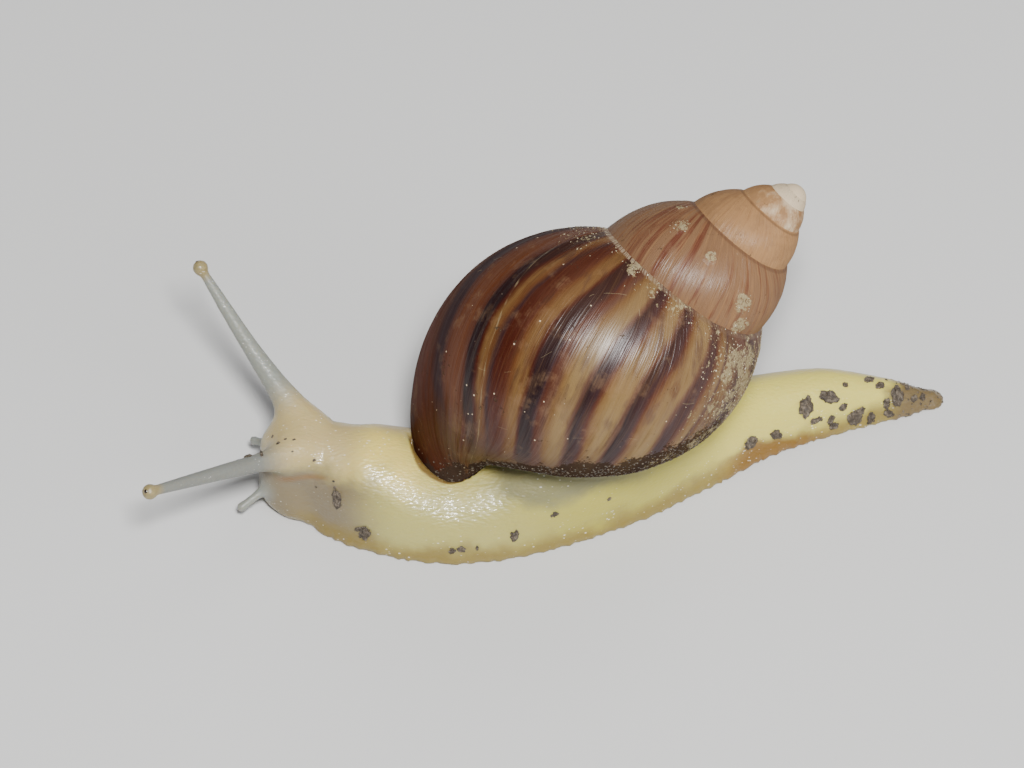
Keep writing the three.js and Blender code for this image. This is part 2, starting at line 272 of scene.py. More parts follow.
def make_shell():
    count = int(round(LIP_WHORL * ROWS_PER_WHORL)) + 1
    rows = np.arange(count) / ROWS_PER_WHORL
    relief = growth_relief(rows)
    first_low = int(round(LOWER_START * ROWS_PER_WHORL))

    # The first whorl runs up to the axis; the later ones start under the whorl before.
    opening = np.clip((rows - 1.0) / 0.25, 0, 1)
    top = (AXIS_ANGLE + (SHOULDER_ANGLE - AXIS_ANGLE) * opening)[:, None]
    upper_angle = top + (SPIRE_END_ANGLE - top) * np.linspace(0, 1, UPPER_COLUMNS)[None, :]
    upper_growth = np.repeat(rows[:, None], UPPER_COLUMNS, axis=1)
    lower = np.linspace(SPIRE_END_ANGLE, BASE_ANGLE, LOWER_COLUMNS + 1)[1:]
    lower_growth, lower_angle = np.meshgrid(rows[first_low:], lower, indexing="ij")
    growth = np.append(upper_growth, lower_growth)
    angle = np.append(upper_angle, lower_angle)
    height = np.append(np.repeat(relief, UPPER_COLUMNS), np.repeat(relief[first_low:], LOWER_COLUMNS))
    points = raised_outside(growth, angle, height)

    upper = numbered(upper_growth, 0)
    lower = numbered(lower_growth, upper.size)
    lower = np.concatenate([upper[first_low:, -1:], lower], axis=1)
    faces = grid_faces(upper) + grid_faces(lower)

    # The rim of the lip and the wall's inside behind it.
    last = np.append(upper[-1, :-1], lower[-1])
    back = np.linspace(0, 1, LIP_INSIDE_ROWS)[1:, None]
    lip_growth = LIP_WHORL - LIP_INSIDE * back ** 1.3 + 0 * angle[last][None, :]
    lip_angle = 0 * back + angle[last][None, :]
    lip_points = inside_wall(lip_growth, lip_angle, np.minimum(1, (back * 9) ** 0.5))
    lip = np.concatenate([last[None, :], numbered(lip_growth, len(points))])
    faces += grid_faces(lip)
    points = np.concatenate([points, lip_points.reshape(-1, 3)])

    # The wall's inside further back, with fewer columns, because the body and the whorls hide it.
    upper_kept = np.arange(0, UPPER_COLUMNS, UPPER_KEPT)
    lower_kept = np.arange(0, LOWER_COLUMNS + 1, LOWER_KEPT)
    deep_rows = int((LIP_WHORL - LIP_INSIDE) * ROWS_PER_WHORL)
    low_rows = deep_rows - first_low
    upper_deep, points = hidden_wall(upper[:deep_rows, upper_kept], growth, angle, points)
    lower_deep, points = hidden_wall(lower[:low_rows, lower_kept[1:]], growth, angle, points)
    lower_deep = np.concatenate([upper_deep[first_low:, -1:], lower_deep], axis=1)
    faces += grid_faces(upper_deep[::-1]) + grid_faces(lower_deep[::-1])
    faces += edge_strip(upper[:deep_rows, 0][::-1], upper_deep[:, 0][::-1])
    faces += edge_strip(upper[:first_low + 1, -1], upper_deep[:first_low + 1, -1])
    faces += edge_strip(lower[:low_rows, -1], lower_deep[:, -1])

    # Closing faces: behind the lip, along its two ends, and where the two strips begin.
    coarse = np.append(upper_deep[-1, :-1], lower_deep[-1])
    kept = np.append(upper_kept[:-1], UPPER_COLUMNS - 1 + lower_kept)
    for j in range(len(kept) - 1):
        faces.append([*lip[-1][kept[j]:kept[j + 1] + 1][::-1], coarse[j], coarse[j + 1]])
    faces.append([*upper[deep_rows - 1:, 0][::-1], coarse[0], *lip[1:, 0][::-1]])
    faces.append([*lower[low_rows - 1:, -1], *lip[1:, -1], coarse[-1]])
    faces.append([*upper[0], *upper_deep[0][::-1]])
    faces.append([*lower[0], *lower_deep[0][::-1]])

    tip_points, tip_faces = tip_dome()
    faces += [[corner + len(points) for corner in face] for face in tip_faces]
    hidden = len(points) - len(growth) - lip_growth.size
    runs = [len(growth), lip_growth.size, hidden, len(tip_points)]
    inside = np.repeat([0.0, 1.0, 1.0, 0.0], runs)
    growth = np.concatenate([growth, lip_growth.ravel(), np.repeat([4.9, 0.02], runs[2:])])
    angle = np.concatenate([angle, lip_angle.ravel(), np.repeat([0.0, -20.0], runs[2:])])
    points = np.concatenate([points, tip_points])

    attributes = {
        "growth": growth, "across": angle / 90.0, "inside": inside,
        "dust_zone": dust_zone(growth, angle, points) * (1 - inside),
        "crust_zone": crust_zone(growth, angle) * (1 - inside),
    }
    return mesh_object("shell", points, [[int(c) for c in face] for face in faces], attributes)


# ---------------- the flesh, in millimetres

# The middle of the sole from the front of the foot to the tip of the tail, as in the solids.
SOLE_PATH = [
    (-0.6, -39), (1.2, -30), (2.3, -21), (1.2, -12), (-2.6, 0), (-7.0, 10), (-11.2, 20), (-14.0, 30),
    (-15.2, 43.5),
]
# Share of the way along it, half width of the sole, height of the back.
BODY_STATIONS = [
    (0.00, 1.2, 1.2), (0.02, 4.6, 6.0), (0.05, 6.7, 9.6), (0.10, 8.2, 11.2), (0.17, 9.2, 10.0),
    (0.23, 9.7, 8.3), (0.30, 9.8, 9.6), (0.38, 9.5, 15.0), (0.50, 8.7, 16.0), (0.62, 7.3, 9.8),
    (0.72, 5.7, 6.9), (0.84, 4.5, 6.1), (0.95, 2.5, 3.4), (1.00, 1.0, 1.2),
]
FLANK_POWER = 2.15
MARGIN_OUT = 0.35
MARGIN_THICK = 1.7
MARGIN_BLEND = 1.6
SCALLOP_LENGTH = 1.9
SCALLOP_DEPTH = 0.20

HEAD_PLACE = np.array([-1.0, -38.4, 7.2])
HEAD_SIZE = np.array([4.7, 5.6, 4.2])
HEAD_YAW = math.radians(-9)
SNOUT_PLACE = np.array([-0.2, -41.2, 3.7])
SNOUT_SIZE = np.array([3.7, 2.7, 3.5])
# The low front lobe of the foot, under the snout.
LOBE_PLACE = np.array([0.7, -38.5, 1.7])
LOBE_SIZE = np.array([5.0, 3.7, 3.4])

# Root, tip, radii at five even places from root to tip, and how far the middle is lifted.
UPPER_TENTACLES = {
    "left": ((1.2, -39.4, 8.9), (13.8, -57.4, 16.6), (2.2, 1.2, 1.0, 0.82, 0.62), 0.1),
    "right": ((-3.8, -38.4, 9.0), (-18.7, -51.7, 22.5), (2.4, 1.5, 1.08, 0.85, 0.52), -0.8),
}
LOWER_TENTACLES = {
    "left": ((1.6, -41.4, 4.4), (4.7, -46.4, 2.3), (0.9, 0.72, 0.58, 0.52, 0.5), 0.1),
    "right": ((-3.4, -41.4, 4.6), (-6.0, -45.0, 2.8), (0.9, 0.72, 0.58, 0.52, 0.5), 0.1),
}
KNOB_RADIUS = 1.0
LOWER_KNOB_RADIUS = 0.56
# How far each part runs smoothly into the next.
KNOB_BLEND = 0.35
TENTACLE_BLEND = 2.6
LOWER_TENTACLE_BLEND = 1.0
LOBE_BLEND = 2.2
SNOUT_BLEND = 2.0
HEAD_BLEND = 4.0
SHELL_BLEND = 0.5
COLLAR_BLEND = 0.8
FLOOR_BLEND = 0.3

# The fold under the near tentacle's root, from the mouth back along the side of the head. The mesh has no
# fold here: its line is painted a darker orange, partly the skin's tone and partly painted shade.
CREASE = [(4.0, -42.8, 6.6), (4.1, -40.8, 7.0), (3.9, -38.6, 7.6), (4.4, -36.0, 8.0), (5.0, -33.5, 8.4)]

# Steps in which curves and the skin's surface are worked out.
CURVE_STEPS = 60
PATH_SAMPLES = 500
PLACES_AT_ONCE = 20000
TENTACLE_SAMPLES = 90
SAMPLES_SKIPPED = 3
CREASE_SAMPLES = 40
CELL = 0.29
FIELD_BAND = 2.0
TENTACLE_ROOM = 3.5
FIELD_LOW = np.array([-24.0, -61.0, -1.0])
FIELD_HIGH = np.array([18.0, 46.0, 37.0])
# Between the flesh and the shell, and how deep the collar sits behind the lip, in turns and millimetres.
SHELL_CLEARANCE = 0.22
COLLAR_DEPTH = 0.14
COLLAR_RECESS = 0.9


def smooth_min(a, b, reach):
    """The lower of two distances, rounded where they are about equal."""
    share = np.clip(0.5 + 0.5 * (b - a) / reach, 0, 1)
    return b + (a - b) * share - reach * share * (1 - share)


def smooth_max(a, b, reach):
    return -smooth_min(-a, -b, reach)


def catmull_rom(points, count):
    """Evenly spaced points on a smooth curve through the given ones, ends included."""
    points = np.asarray(points, dtype=float)
    padded = np.vstack([2 * points[0] - points[1], points, 2 * points[-1] - points[-2]])
    dense = []
    for i in range(len(points) - 1):
        p0, p1, p2, p3 = padded[i:i + 4]
        t = np.linspace(0, 1, CURVE_STEPS, endpoint=False)[:, None]
        dense.append(0.5 * (
            2 * p1 + (p2 - p0) * t + (2 * p0 - 5 * p1 + 4 * p2 - p3) * t ** 2
            + (3 * p1 - p0 - 3 * p2 + p3) * t ** 3
        ))
    dense = np.vstack(dense + [points[-1:]])
    length = np.concatenate([[0], np.cumsum(np.linalg.norm(np.diff(dense, axis=0), axis=1))])
    even = np.linspace(0, length[-1], count)
    columns = [np.interp(even, length, column) for column in dense.T]
    return np.stack(columns, axis=1), length[-1]


sole_points, SOLE_LENGTH = catmull_rom(SOLE_PATH, PATH_SAMPLES)
sole_tangents = np.gradient(sole_points, axis=0)
sole_tangents /= np.linalg.norm(sole_tangents, axis=1, keepdims=True)


def softened(values, reach=14):
    """A row of numbers with its corners rounded off."""
    window = np.hanning(2 * reach + 1)
    padded = np.pad(values, reach, mode="edge")
    return np.convolve(padded, window / window.sum(), mode="valid")


shares = np.linspace(0, 1, PATH_SAMPLES)
stations = np.array(BODY_STATIONS)
body_width = softened(np.interp(shares, stations[:, 0], stations[:, 1]))
body_height = softened(np.interp(shares, stations[:, 0], stations[:, 2]))


def along_sole(x, y):
    """For places on the floor: the nearest sample of the sole's middle, and the distance to its left."""
    flat = np.stack([x.ravel(), y.ravel()], axis=1)
    nearest = np.empty(len(flat), dtype=int)
    for start in range(0, len(flat), PLACES_AT_ONCE):
        part = slice(start, start + PLACES_AT_ONCE)
        gap = flat[part][:, None, :] - sole_points[None, :, :]
        nearest[part] = np.argmin((gap ** 2).sum(axis=2), axis=1)
    offset = flat - sole_points[nearest]
    tangent = sole_tangents[nearest]
    left = offset[:, 0] * tangent[:, 1] - offset[:, 1] * tangent[:, 0]
    side = np.where(left >= 0, 1.0, -1.0)
    return nearest.reshape(x.shape), (side * np.linalg.norm(offset, axis=1)).reshape(x.shape)


def oval_distance(a, b, size_a, size_b, power=2.0):
    """Roughly the distance from an oval's outline, negative inside."""
    u = np.abs(a) / size_a
    v = np.abs(b) / size_b
    reach = (u ** power + v ** power) ** (1 / power) + 1e-6
    slope = np.sqrt((u / size_a) ** 2 + (v / size_b) ** 2) / np.sqrt(u ** 2 + v ** 2 + 1e-9) + 1e-6
    return (reach - 1) / slope


def ball_distance(x, y, z, place, size, yaw):
    """Roughly the distance from an egg shape that is turned about the upright."""
    dx, dy, dz = x - place[0], y - place[1], z - place[2]
    ax = (dx * math.cos(yaw) + dy * math.sin(yaw)) / size[0]
    ay = (-dx * math.sin(yaw) + dy * math.cos(yaw)) / size[1]
    az = dz / size[2]
    reach = np.sqrt(ax ** 2 + ay ** 2 + az ** 2) + 1e-6
    slope = np.sqrt((ax / size[0]) ** 2 + (ay / size[1]) ** 2 + (az / size[2]) ** 2) + 1e-6
    return reach * (reach - 1) / slope


def tentacle_line(sizes):
    """Points along a tentacle's middle, and its radius at each."""
    root, tip, radii, lift = sizes
    middle = (np.array(root) + np.array(tip)) / 2 + np.array([0, 0, lift])
    line, _ = catmull_rom([root, middle, tip], TENTACLE_SAMPLES)
    places = np.linspace(0, 1, len(radii))
    return line, softened(np.interp(np.linspace(0, 1, TENTACLE_SAMPLES), places, radii), 8)


def shell_place(x, y, z):
    """Radius, depth and turn of places about the shell's axis, the turn from 0.2 past the lip backwards."""
    dx, dy, dz = x - APEX_PLACE[0], y - APEX_PLACE[1], z - APEX_PLACE[2]
    depth = -(dx * TO_APEX[0] + dy * TO_APEX[1] + dz * TO_APEX[2])
    to_lip = dx * TO_LIP[0] + dy * TO_LIP[1] + dz * TO_LIP[2]
    to_ground = dx * TO_GROUND[0] + dy * TO_GROUND[1] + dz * TO_GROUND[2]
    turn = np.arctan2(to_ground, to_lip) / TURN
    turn = np.where(turn > 0.2, turn - 1, turn)
    return np.sqrt(to_lip ** 2 + to_ground ** 2), depth, turn


def whorl_distance(radius, depth, count):
    """Distance from the outside of the whorl at a count, and the angle across it."""
    wide, centre, shoulder, base = whorl_sizes(count - LAST_WHORL)
    long = np.where(depth > centre, base, shoulder)
    angle = np.degrees(np.arctan2((depth - centre) / long, radius / wide))
    return oval_distance(radius, depth - centre, wide, long, 1.95), angle


def shell_fields(x, y, z):
    """Distances from the shell's wall and from the hollow behind its lip."""
    radius, depth, turn = shell_place(x, y, z)
    last, angle = whorl_distance(radius, depth, LIP_WHORL + turn)
    inner, _ = whorl_distance(radius, depth, LIP_WHORL + turn - 1)
    past_lip = (turn - growth_lag(angle)) * TURN * radius
    outside = np.minimum(np.maximum(last, past_lip), inner)
    hollow = np.maximum(last + SHELL_WALL, -inner)
    deep = -(turn + COLLAR_DEPTH) * TURN * radius
    wall = np.maximum(outside, -np.maximum(hollow, deep))
    collar = np.maximum(np.maximum(hollow + SHELL_CLEARANCE, deep + 0.5), past_lip + COLLAR_RECESS)
    return wall, collar


def distance_from(place, x, y, z):
    return np.sqrt((x - place[0]) ** 2 + (y - place[1]) ** 2 + (z - place[2]) ** 2)


def add_tentacle(field, grid, sizes, knob, blend):
    """Blends one tentacle into the part of the field that lies around it."""
    line, radii = tentacle_line(sizes)
    low = np.minimum(line[0], line[-1]) - TENTACLE_ROOM
    high = np.maximum(line[0], line[-1]) + TENTACLE_ROOM
    part = tuple(
        slice(max(0, int((low[k] - FIELD_LOW[k]) / CELL)), int((high[k] - FIELD_LOW[k]) / CELL) + 1)
        for k in range(3)
    )
    near = [axis[part] for axis in grid]
    stem = np.full(near[0].shape, 1e3)
    for place, radius in zip(line, radii):
        stem = np.minimum(stem, distance_from(place, *near) - radius)
    tip = distance_from(line[-1], *near) - knob
    field[part] = smooth_min(smooth_min(stem, tip, KNOB_BLEND), field[part], blend)


def flesh_field(x, y, z):
    """Roughly the distance from the flesh's surface over a grid, negative inside."""
    nearest, left = along_sole(x[:, :, 0], y[:, :, 0])
    width = body_width[nearest][:, :, None]
    height = body_height[nearest][:, :, None]
    left = left[:, :, None]
    run = nearest / PATH_SAMPLES * SOLE_LENGTH
    wave = np.sin(TURN * run / SCALLOP_LENGTH + 1.7 * np.sin(run * 0.83) + 0.9 * np.sin(run * 2.1))
    margin = width + MARGIN_OUT + SCALLOP_DEPTH * wave[:, :, None]
    trunk = oval_distance(left, z, width - 0.2, height, FLANK_POWER)
    skirt = oval_distance(left, z, margin, MARGIN_THICK * np.minimum(1, width / 5), 2.4)
    field = smooth_min(trunk, skirt, MARGIN_BLEND)

    head = ball_distance(x, y, z, HEAD_PLACE, HEAD_SIZE, HEAD_YAW)
    snout = ball_distance(x, y, z, SNOUT_PLACE, SNOUT_SIZE, HEAD_YAW)
    lobe = ball_distance(x, y, z, LOBE_PLACE, LOBE_SIZE, HEAD_YAW)
    field = smooth_min(field, lobe, LOBE_BLEND)
    field = smooth_min(field, smooth_min(head, snout, SNOUT_BLEND), HEAD_BLEND)
    for sizes in UPPER_TENTACLES.values():
        add_tentacle(field, (x, y, z), sizes, KNOB_RADIUS, TENTACLE_BLEND)
    for sizes in LOWER_TENTACLES.values():
        add_tentacle(field, (x, y, z), sizes, LOWER_KNOB_RADIUS, LOWER_TENTACLE_BLEND)

    wall, collar = shell_fields(x, y, z)
    field = smooth_max(field, SHELL_CLEARANCE - wall, SHELL_BLEND)
    field = smooth_min(field, collar, COLLAR_BLEND)
    return smooth_max(field, -z, FLOOR_BLEND)


def make_skin():
    axes = [np.arange(FIELD_LOW[k], FIELD_HIGH[k], CELL, dtype=np.float32) for k in range(3)]
    x, y, z = np.meshgrid(*axes, indexing="ij")
    field = flesh_field(x, y, z)
    grid = openvdb.FloatGrid(FIELD_BAND)
    grid.copyFromArray(np.clip(field, -FIELD_BAND, FIELD_BAND).astype(np.float32))
    points, quads = grid.convertToQuads(isovalue=0.0)
    points = points * CELL + FIELD_LOW
    points[:, 2] = np.maximum(points[:, 2], 0)
    return mesh_object("skin", points, quads.tolist(), skin_zones(points))


def along_tentacle(points, sizes, start):
    """How surely points belong to a tentacle, from 0 at its root to 1 from a share of its length on."""
    line, radii = tentacle_line(sizes)
    line, radii = line[::SAMPLES_SKIPPED], radii[::SAMPLES_SKIPPED]
    gap = np.linalg.norm(points[:, None, :] - line[None, :, :], axis=2)
    at = np.argmin(gap, axis=1)
    near = gap[np.arange(len(points)), at] - radii[at]
    return np.clip(1 - near / 1.6, 0, 1) * ease(at / (len(line) - 1), 0.1 * start, start)


def skin_zones(points):
    """Where each point of the skin lies, for its colours: numbers from 0 to 1, and left from -1 to 1."""
    x, y, z = points.T
    nearest_run, left = along_sole(x, y)
    zones = {
        "run": nearest_run / (PATH_SAMPLES - 1),
        "left": np.clip(left / body_width[nearest_run], -1.2, 1.2),
        "rise": z / 12.0,
    }
    for label, group, start in (("tentacle", UPPER_TENTACLES, 0.3), ("feeler", LOWER_TENTACLES, 0.4)):
        both = [along_tentacle(points, sizes, start) for sizes in group.values()]
        zones[label] = np.max(both, axis=0)
    tips = [np.linalg.norm(points - np.array(sizes[1]), axis=1) for sizes in UPPER_TENTACLES.values()]
    zones["knob"] = np.clip((2.1 - np.min(tips, axis=0)) / 1.0, 0, 1)
    crease, _ = catmull_rom(CREASE, CREASE_SAMPLES)
    away = np.linalg.norm(points[:, None, :] - crease[None, :, :], axis=2)
    nearest = np.argmin(away, axis=1)
    last = CREASE_SAMPLES - 1
    width = np.interp(nearest, [0, last], [0.9, 0.3])
    strength = np.interp(nearest, [0, 20, last], [1, 0.8, 0.2])
    zones["crease"] = np.clip(1.2 - away.min(axis=1) / width, 0, 1) * strength
    tip = np.clip((zones["run"] - 0.915) / 0.05, 0, 1) * (z > 0.25)
    zones["tip_crust"] = tip * (0.4 + 0.6 * (np.abs(left) / body_width[nearest_run] > 0.2))
    wall, collar = shell_fields(x, y, z)
    zones["under_shell"] = np.clip(1 - wall / 3.0, 0, 1)
    zones["collar"] = np.clip(1 - collar / 0.6, 0, 1)
    return zones


# ---------------- materials

class Value:
    """An output of a node, which adds, subtracts and multiplies like a number."""

    def __init__(self, graph, socket):
        self.graph = graph
        self.socket = socket

    def __add__(self, other):
        return self.graph.math("ADD", self, other)

    def __radd__(self, other):
        return self.graph.math("ADD", other, self)

    def __sub__(self, other):
        return self.graph.math("SUBTRACT", self, other)

    def __rsub__(self, other):
        return self.graph.math("SUBTRACT", other, self)

    def __mul__(self, other):
        return self.graph.math("MULTIPLY", self, other)

    def __abs__(self):
        return self.graph.math("ABSOLUTE", self)

    def step(self, low, high, out_low=0.0, out_high=1.0, shape="SMOOTHSTEP"):
        """Goes from out_low to out_high while this value goes from low to high."""
        values = dict(enumerate((self, low, high, out_low, out_high)))
        return self.graph.node("ShaderNodeMapRange", values, interpolation_type=shape)

    def sibling(self, name):
        """Another output of the same node."""
        return Value(self.graph, self.socket.node.outputs[name])


class Graph:
    """Short ways to add nodes to a tree. A setting may be a number, a colour, a material or a Value."""

    def __init__(self, tree):
        self.tree = tree

    def put(self, socket, value):
        if isinstance(value, Value):
            self.tree.links.new(value.socket, socket)
        elif isinstance(value, tuple) and len(value) == 3 and socket.type == "RGBA":
            socket.default_value = (*value, 1)
        else:
            socket.default_value = value

    def node(self, kind, values, output=0, **options):
        """Adds a node, sets inputs by name or number, and gives one of its outputs."""
        made = self.tree.nodes.new(kind)
        for key, option in options.items():
            setattr(made, key, option)
        for key, value in values.items():
            self.put(made.inputs[key], value)
        return Value(self, made.outputs[output])

    def attribute(self, name):
        return self.node("ShaderNodeAttribute", {}, "Fac", attribute_name=name)

    def place(self):
        return self.node("ShaderNodeTexCoord", {}, "Object")

    def math(self, operation, *values):
        return self.node("ShaderNodeMath", dict(enumerate(values)), operation=operation)

    def vector(self, x, y, z=0.0):
        return self.node("ShaderNodeCombineXYZ", {0: x, 1: y, 2: z})

    def stretched(self, vector, scale):
        return self.node("ShaderNodeMapping", {"Vector": vector, "Scale": scale})

    def noise(self, vector, scale, detail=3.0, roughness=0.5):
        values = {"Vector": vector, "Scale": scale, "Detail": detail, "Roughness": roughness}
        return self.node("ShaderNodeTexNoise", values, "Fac")

    def cells(self, vector, scale):
        return self.node("ShaderNodeTexVoronoi", {"Vector": vector, "Scale": scale}, "Distance")

    def ramp(self, value, stops):
        """Colours at places along a value from 0 to 1."""
        made = self.node("ShaderNodeValToRGB", {0: value}, "Color")
        elements = made.socket.node.color_ramp.elements
        for element, (place, colour) in zip(elements, (stops[0], stops[-1])):
            element.position = place
            element.color = (*colour, 1)
        for place, colour in stops[1:-1]:
            elements.new(place).color = (*colour, 1)
        return made

    def mix(self, share, a, b, blend="MIX"):
        return self.node("ShaderNodeMix", {0: share, 6: a, 7: b}, 2, data_type="RGBA", blend_type=blend)

    def bump(self, height, strength, distance):
        values = {"Height": height, "Strength": strength, "Distance": distance}
        return self.node("ShaderNodeBump", values, "Normal")


class Look(Graph):
    """A new material, with ways to add nodes to it and to set its surface."""

    def __init__(self, name):
        self.material = bpy.data.materials.new(name)
        self.material.use_nodes = True
        super().__init__(self.material.node_tree)
        self.surface = self.tree.nodes["Principled BSDF"]
        self.colour = None

    def set(self, setting, value):
        self.put(self.surface.inputs[setting], value)

    def paint(self, share, colour):
        """Lays a colour over the look's own colour so far."""
        self.colour = self.mix(share, self.colour, colour)


# Colours of the shell, linear.
INK = (0.014, 0.005, 0.006)
PURPLE = (0.028, 0.011, 0.013)
PURPLE_GREY = (0.052, 0.023, 0.024)
MAROON = (0.048, 0.008, 0.003)
# Painted light: red-brown made lighter for the lip, which lies in shade.
LIT_LIP_MAROON = (0.104, 0.030, 0.017)
RED_BROWN = (0.068, 0.018, 0.008)
ORANGE_BROWN = (0.098, 0.030, 0.011)
OLIVE = (0.104, 0.038, 0.011)
BROWN = (0.090, 0.041, 0.024)
OCHRE = (0.142, 0.072, 0.022)
YELLOW = (0.198, 0.124, 0.046)
PALE = (0.285, 0.168, 0.085)
DUSTY_BROWN = (0.126, 0.058, 0.036)
# Partly painted shade: the dark maroon towards the base and in the hollow under the whorl.
BASE_MAROON_AND_SHADE = (0.050, 0.013, 0.006)
TAN = (0.182, 0.098, 0.050)
PEACH = (0.350, 0.192, 0.082)
LIMY = (0.620, 0.500, 0.340)
CREAM = (0.700, 0.560, 0.380)
RED_STREAK = (0.110, 0.032, 0.018)
DUST = (0.330, 0.270, 0.150)
CRUST = (0.045, 0.030, 0.021)
NACRE = (0.400, 0.400, 0.400)

# The flames of the body whorl by whorl count, in two runs from the older end to the lip.
OLDER_FLAMES = [
    (4.500, BROWN), (4.530, MAROON), (4.545, PURPLE), (4.556, OCHRE), (4.574, YELLOW), (4.582, OCHRE),
    (4.586, PURPLE_GREY), (4.592, YELLOW), (4.602, OCHRE), (4.608, RED_BROWN), (4.613, PURPLE),
    (4.622, PURPLE), (4.627, BROWN), (4.633, YELLOW), (4.650, YELLOW), (4.660, OCHRE),
    (4.667, RED_BROWN), (4.672, PURPLE), (4.684, INK), (4.689, BROWN), (4.695, YELLOW), (4.708, YELLOW),
    (4.717, OCHRE), (4.722, RED_BROWN), (4.727, PURPLE), (4.738, INK), (4.743, BROWN), (4.748, YELLOW),
    (4.760, YELLOW), (4.769, OCHRE), (4.775, BROWN),
]
NEWER_FLAMES = [
    (4.775, BROWN), (4.782, RED_BROWN), (4.787, PURPLE), (4.791, INK), (4.803, INK), (4.807, MAROON),
    (4.812, OCHRE), (4.822, OCHRE), (4.829, OLIVE), (4.835, RED_BROWN), (4.843, MAROON),
    (4.853, MAROON), (4.858, PURPLE), (4.864, OLIVE), (4.873, OCHRE), (4.880, MAROON), (4.885, INK),
    (4.898, INK), (4.903, RED_BROWN), (4.912, ORANGE_BROWN), (4.932, ORANGE_BROWN), (4.944, RED_BROWN),
    # Painted light: the stops next to the lip are lighter, to make up for the shade there.
    (4.952, PURPLE), (4.970, PURPLE), (4.984, RED_BROWN), (5.020, LIT_LIP_MAROON), (5.060, LIT_LIP_MAROON),
    (5.100, RED_BROWN),
]


# The flames further back, which stay under the animal or behind it, by the strength of a noise.
UNSEEN_FLAMES = [
    (0.30, PURPLE), (0.42, PURPLE), (0.47, RED_BROWN), (0.54, BROWN), (0.60, OCHRE), (0.68, YELLOW),
]


def flame_colours(g, value, flames):
    start, end = flames[0][0], flames[-1][0]
    share = g.math("DIVIDE", value - start, end - start)
    return g.ramp(share, [((place - start) / (end - start), colour) for place, colour in flames])


def streaks(g, per_whorl, along, seed, detail=3.0):
    """Noise that is drawn out along the lines of growth."""
    place = g.vector(g.attribute("growth") * per_whorl, g.attribute("across") * along, seed)
    return g.noise(place, 1.0, detail, 0.6)


def body_whorl_colour(g, growth, across, place):
    broad = streaks(g, 30.0, 2.6, 0.0)
    fine = streaks(g, 120.0, 2.4, 3.0)
    cloud = g.noise(place, 170.0, 2.0, 0.55)
    wobble = (broad - 0.5) * 0.012 + (fine - 0.5) * 0.005
    from_middle = across - 0.03
    bend = from_middle * from_middle * growth.step(4.7, 4.8, 0.145, 0.1)
    shifted = growth + bend + (wobble + (cloud - 0.5) * 0.007)
    older = flame_colours(g, shifted, OLDER_FLAMES)
    newer = flame_colours(g, shifted, NEWER_FLAMES)
    flames = g.mix(shifted.step(4.774, 4.776), older, newer)
    unseen = g.ramp(streaks(g, 26.0, 1.0, 7.0, 1.5), UNSEEN_FLAMES)
    flames = g.mix(growth.step(4.5, 4.58), unseen, flames)

    # Above, the flames are dusty and run into each other; towards the base they darken, partly the shell's
    # own deeper colour and partly painted shade.
    upper = (across + (cloud - 0.5) * 0.5).step(0.16, -0.3)
    upper = upper * growth.step(4.9, 4.86, 0.06, 0.2)
    flames = g.mix(upper, flames, DUSTY_BROWN)
    calm = growth.step(4.895, 4.872, 0.15, 1.0)
    smears = streaks(g, 34.0, 3.8, 11.0, 3.0).step(0.54, 0.64)
    smears = smears * (calm * across.step(0.35, -0.1, 0.15, 0.45))
    flames = g.mix(smears, flames, PURPLE_GREY, "DARKEN")
    red_runs = streaks(g, 42.0, 3.0, 17.0, 3.0).step(0.54, 0.66)
    flames = g.mix(red_runs * (calm * 0.5), flames, RED_BROWN, "DARKEN")
    stains = streaks(g, 64.0, 2.2, 23.0, 3.0).step(0.48, 0.66)
    flames = g.mix(stains * 0.25, flames, BROWN, "DARKEN")
    flames = g.mix(fine.step(0.42, 0.32) * (calm * 0.25), flames, PURPLE, "DARKEN")
    # Partly painted shade: darker towards the base, where the shell turns under, away from the light.
    low = growth.step(4.66, 4.8, 0.16, 0.34)
    base = across + (cloud - 0.5) * 0.35 - low
    return g.mix(base.step(0.0, 0.34) * 0.82, flames, BASE_MAROON_AND_SHADE), fine


def spire_colour(g, growth, fine):
    spire = g.mix(growth.step(2.3, 3.9), PEACH, TAN)
    thin = streaks(g, 70.0, 1.6, 2.0).step(0.5, 0.64)
    spire = g.mix(thin * growth.step(2.6, 4.0, 0.12, 0.8), spire, RED_STREAK)
    for place in (3.786, 3.83, 3.865, 3.89):
        away = abs(growth + (fine - 0.5) * 0.012 - (place - 0.02))
        spire = g.mix(away.step(0.009, 0.003) * 0.55, spire, RED_STREAK)
    spire = g.mix(fine.step(0.5, 0.36) * 0.25, spire, PEACH)
    edge = growth.step(3.88, 4.1)
    spire = g.mix(edge * 0.5, spire, BROWN)
    mottle = g.noise(g.place(), 620.0, 3.0, 0.6)
    spire = g.mix(mottle.step(0.46, 0.62) * 0.3, spire, TAN)
    worn = growth + ((fine - 0.5) * 0.8 + (mottle - 0.5) * 2.2)
    return g.mix(worn.step(1.95, 0.95, 0.0, 0.9), spire, LIMY)


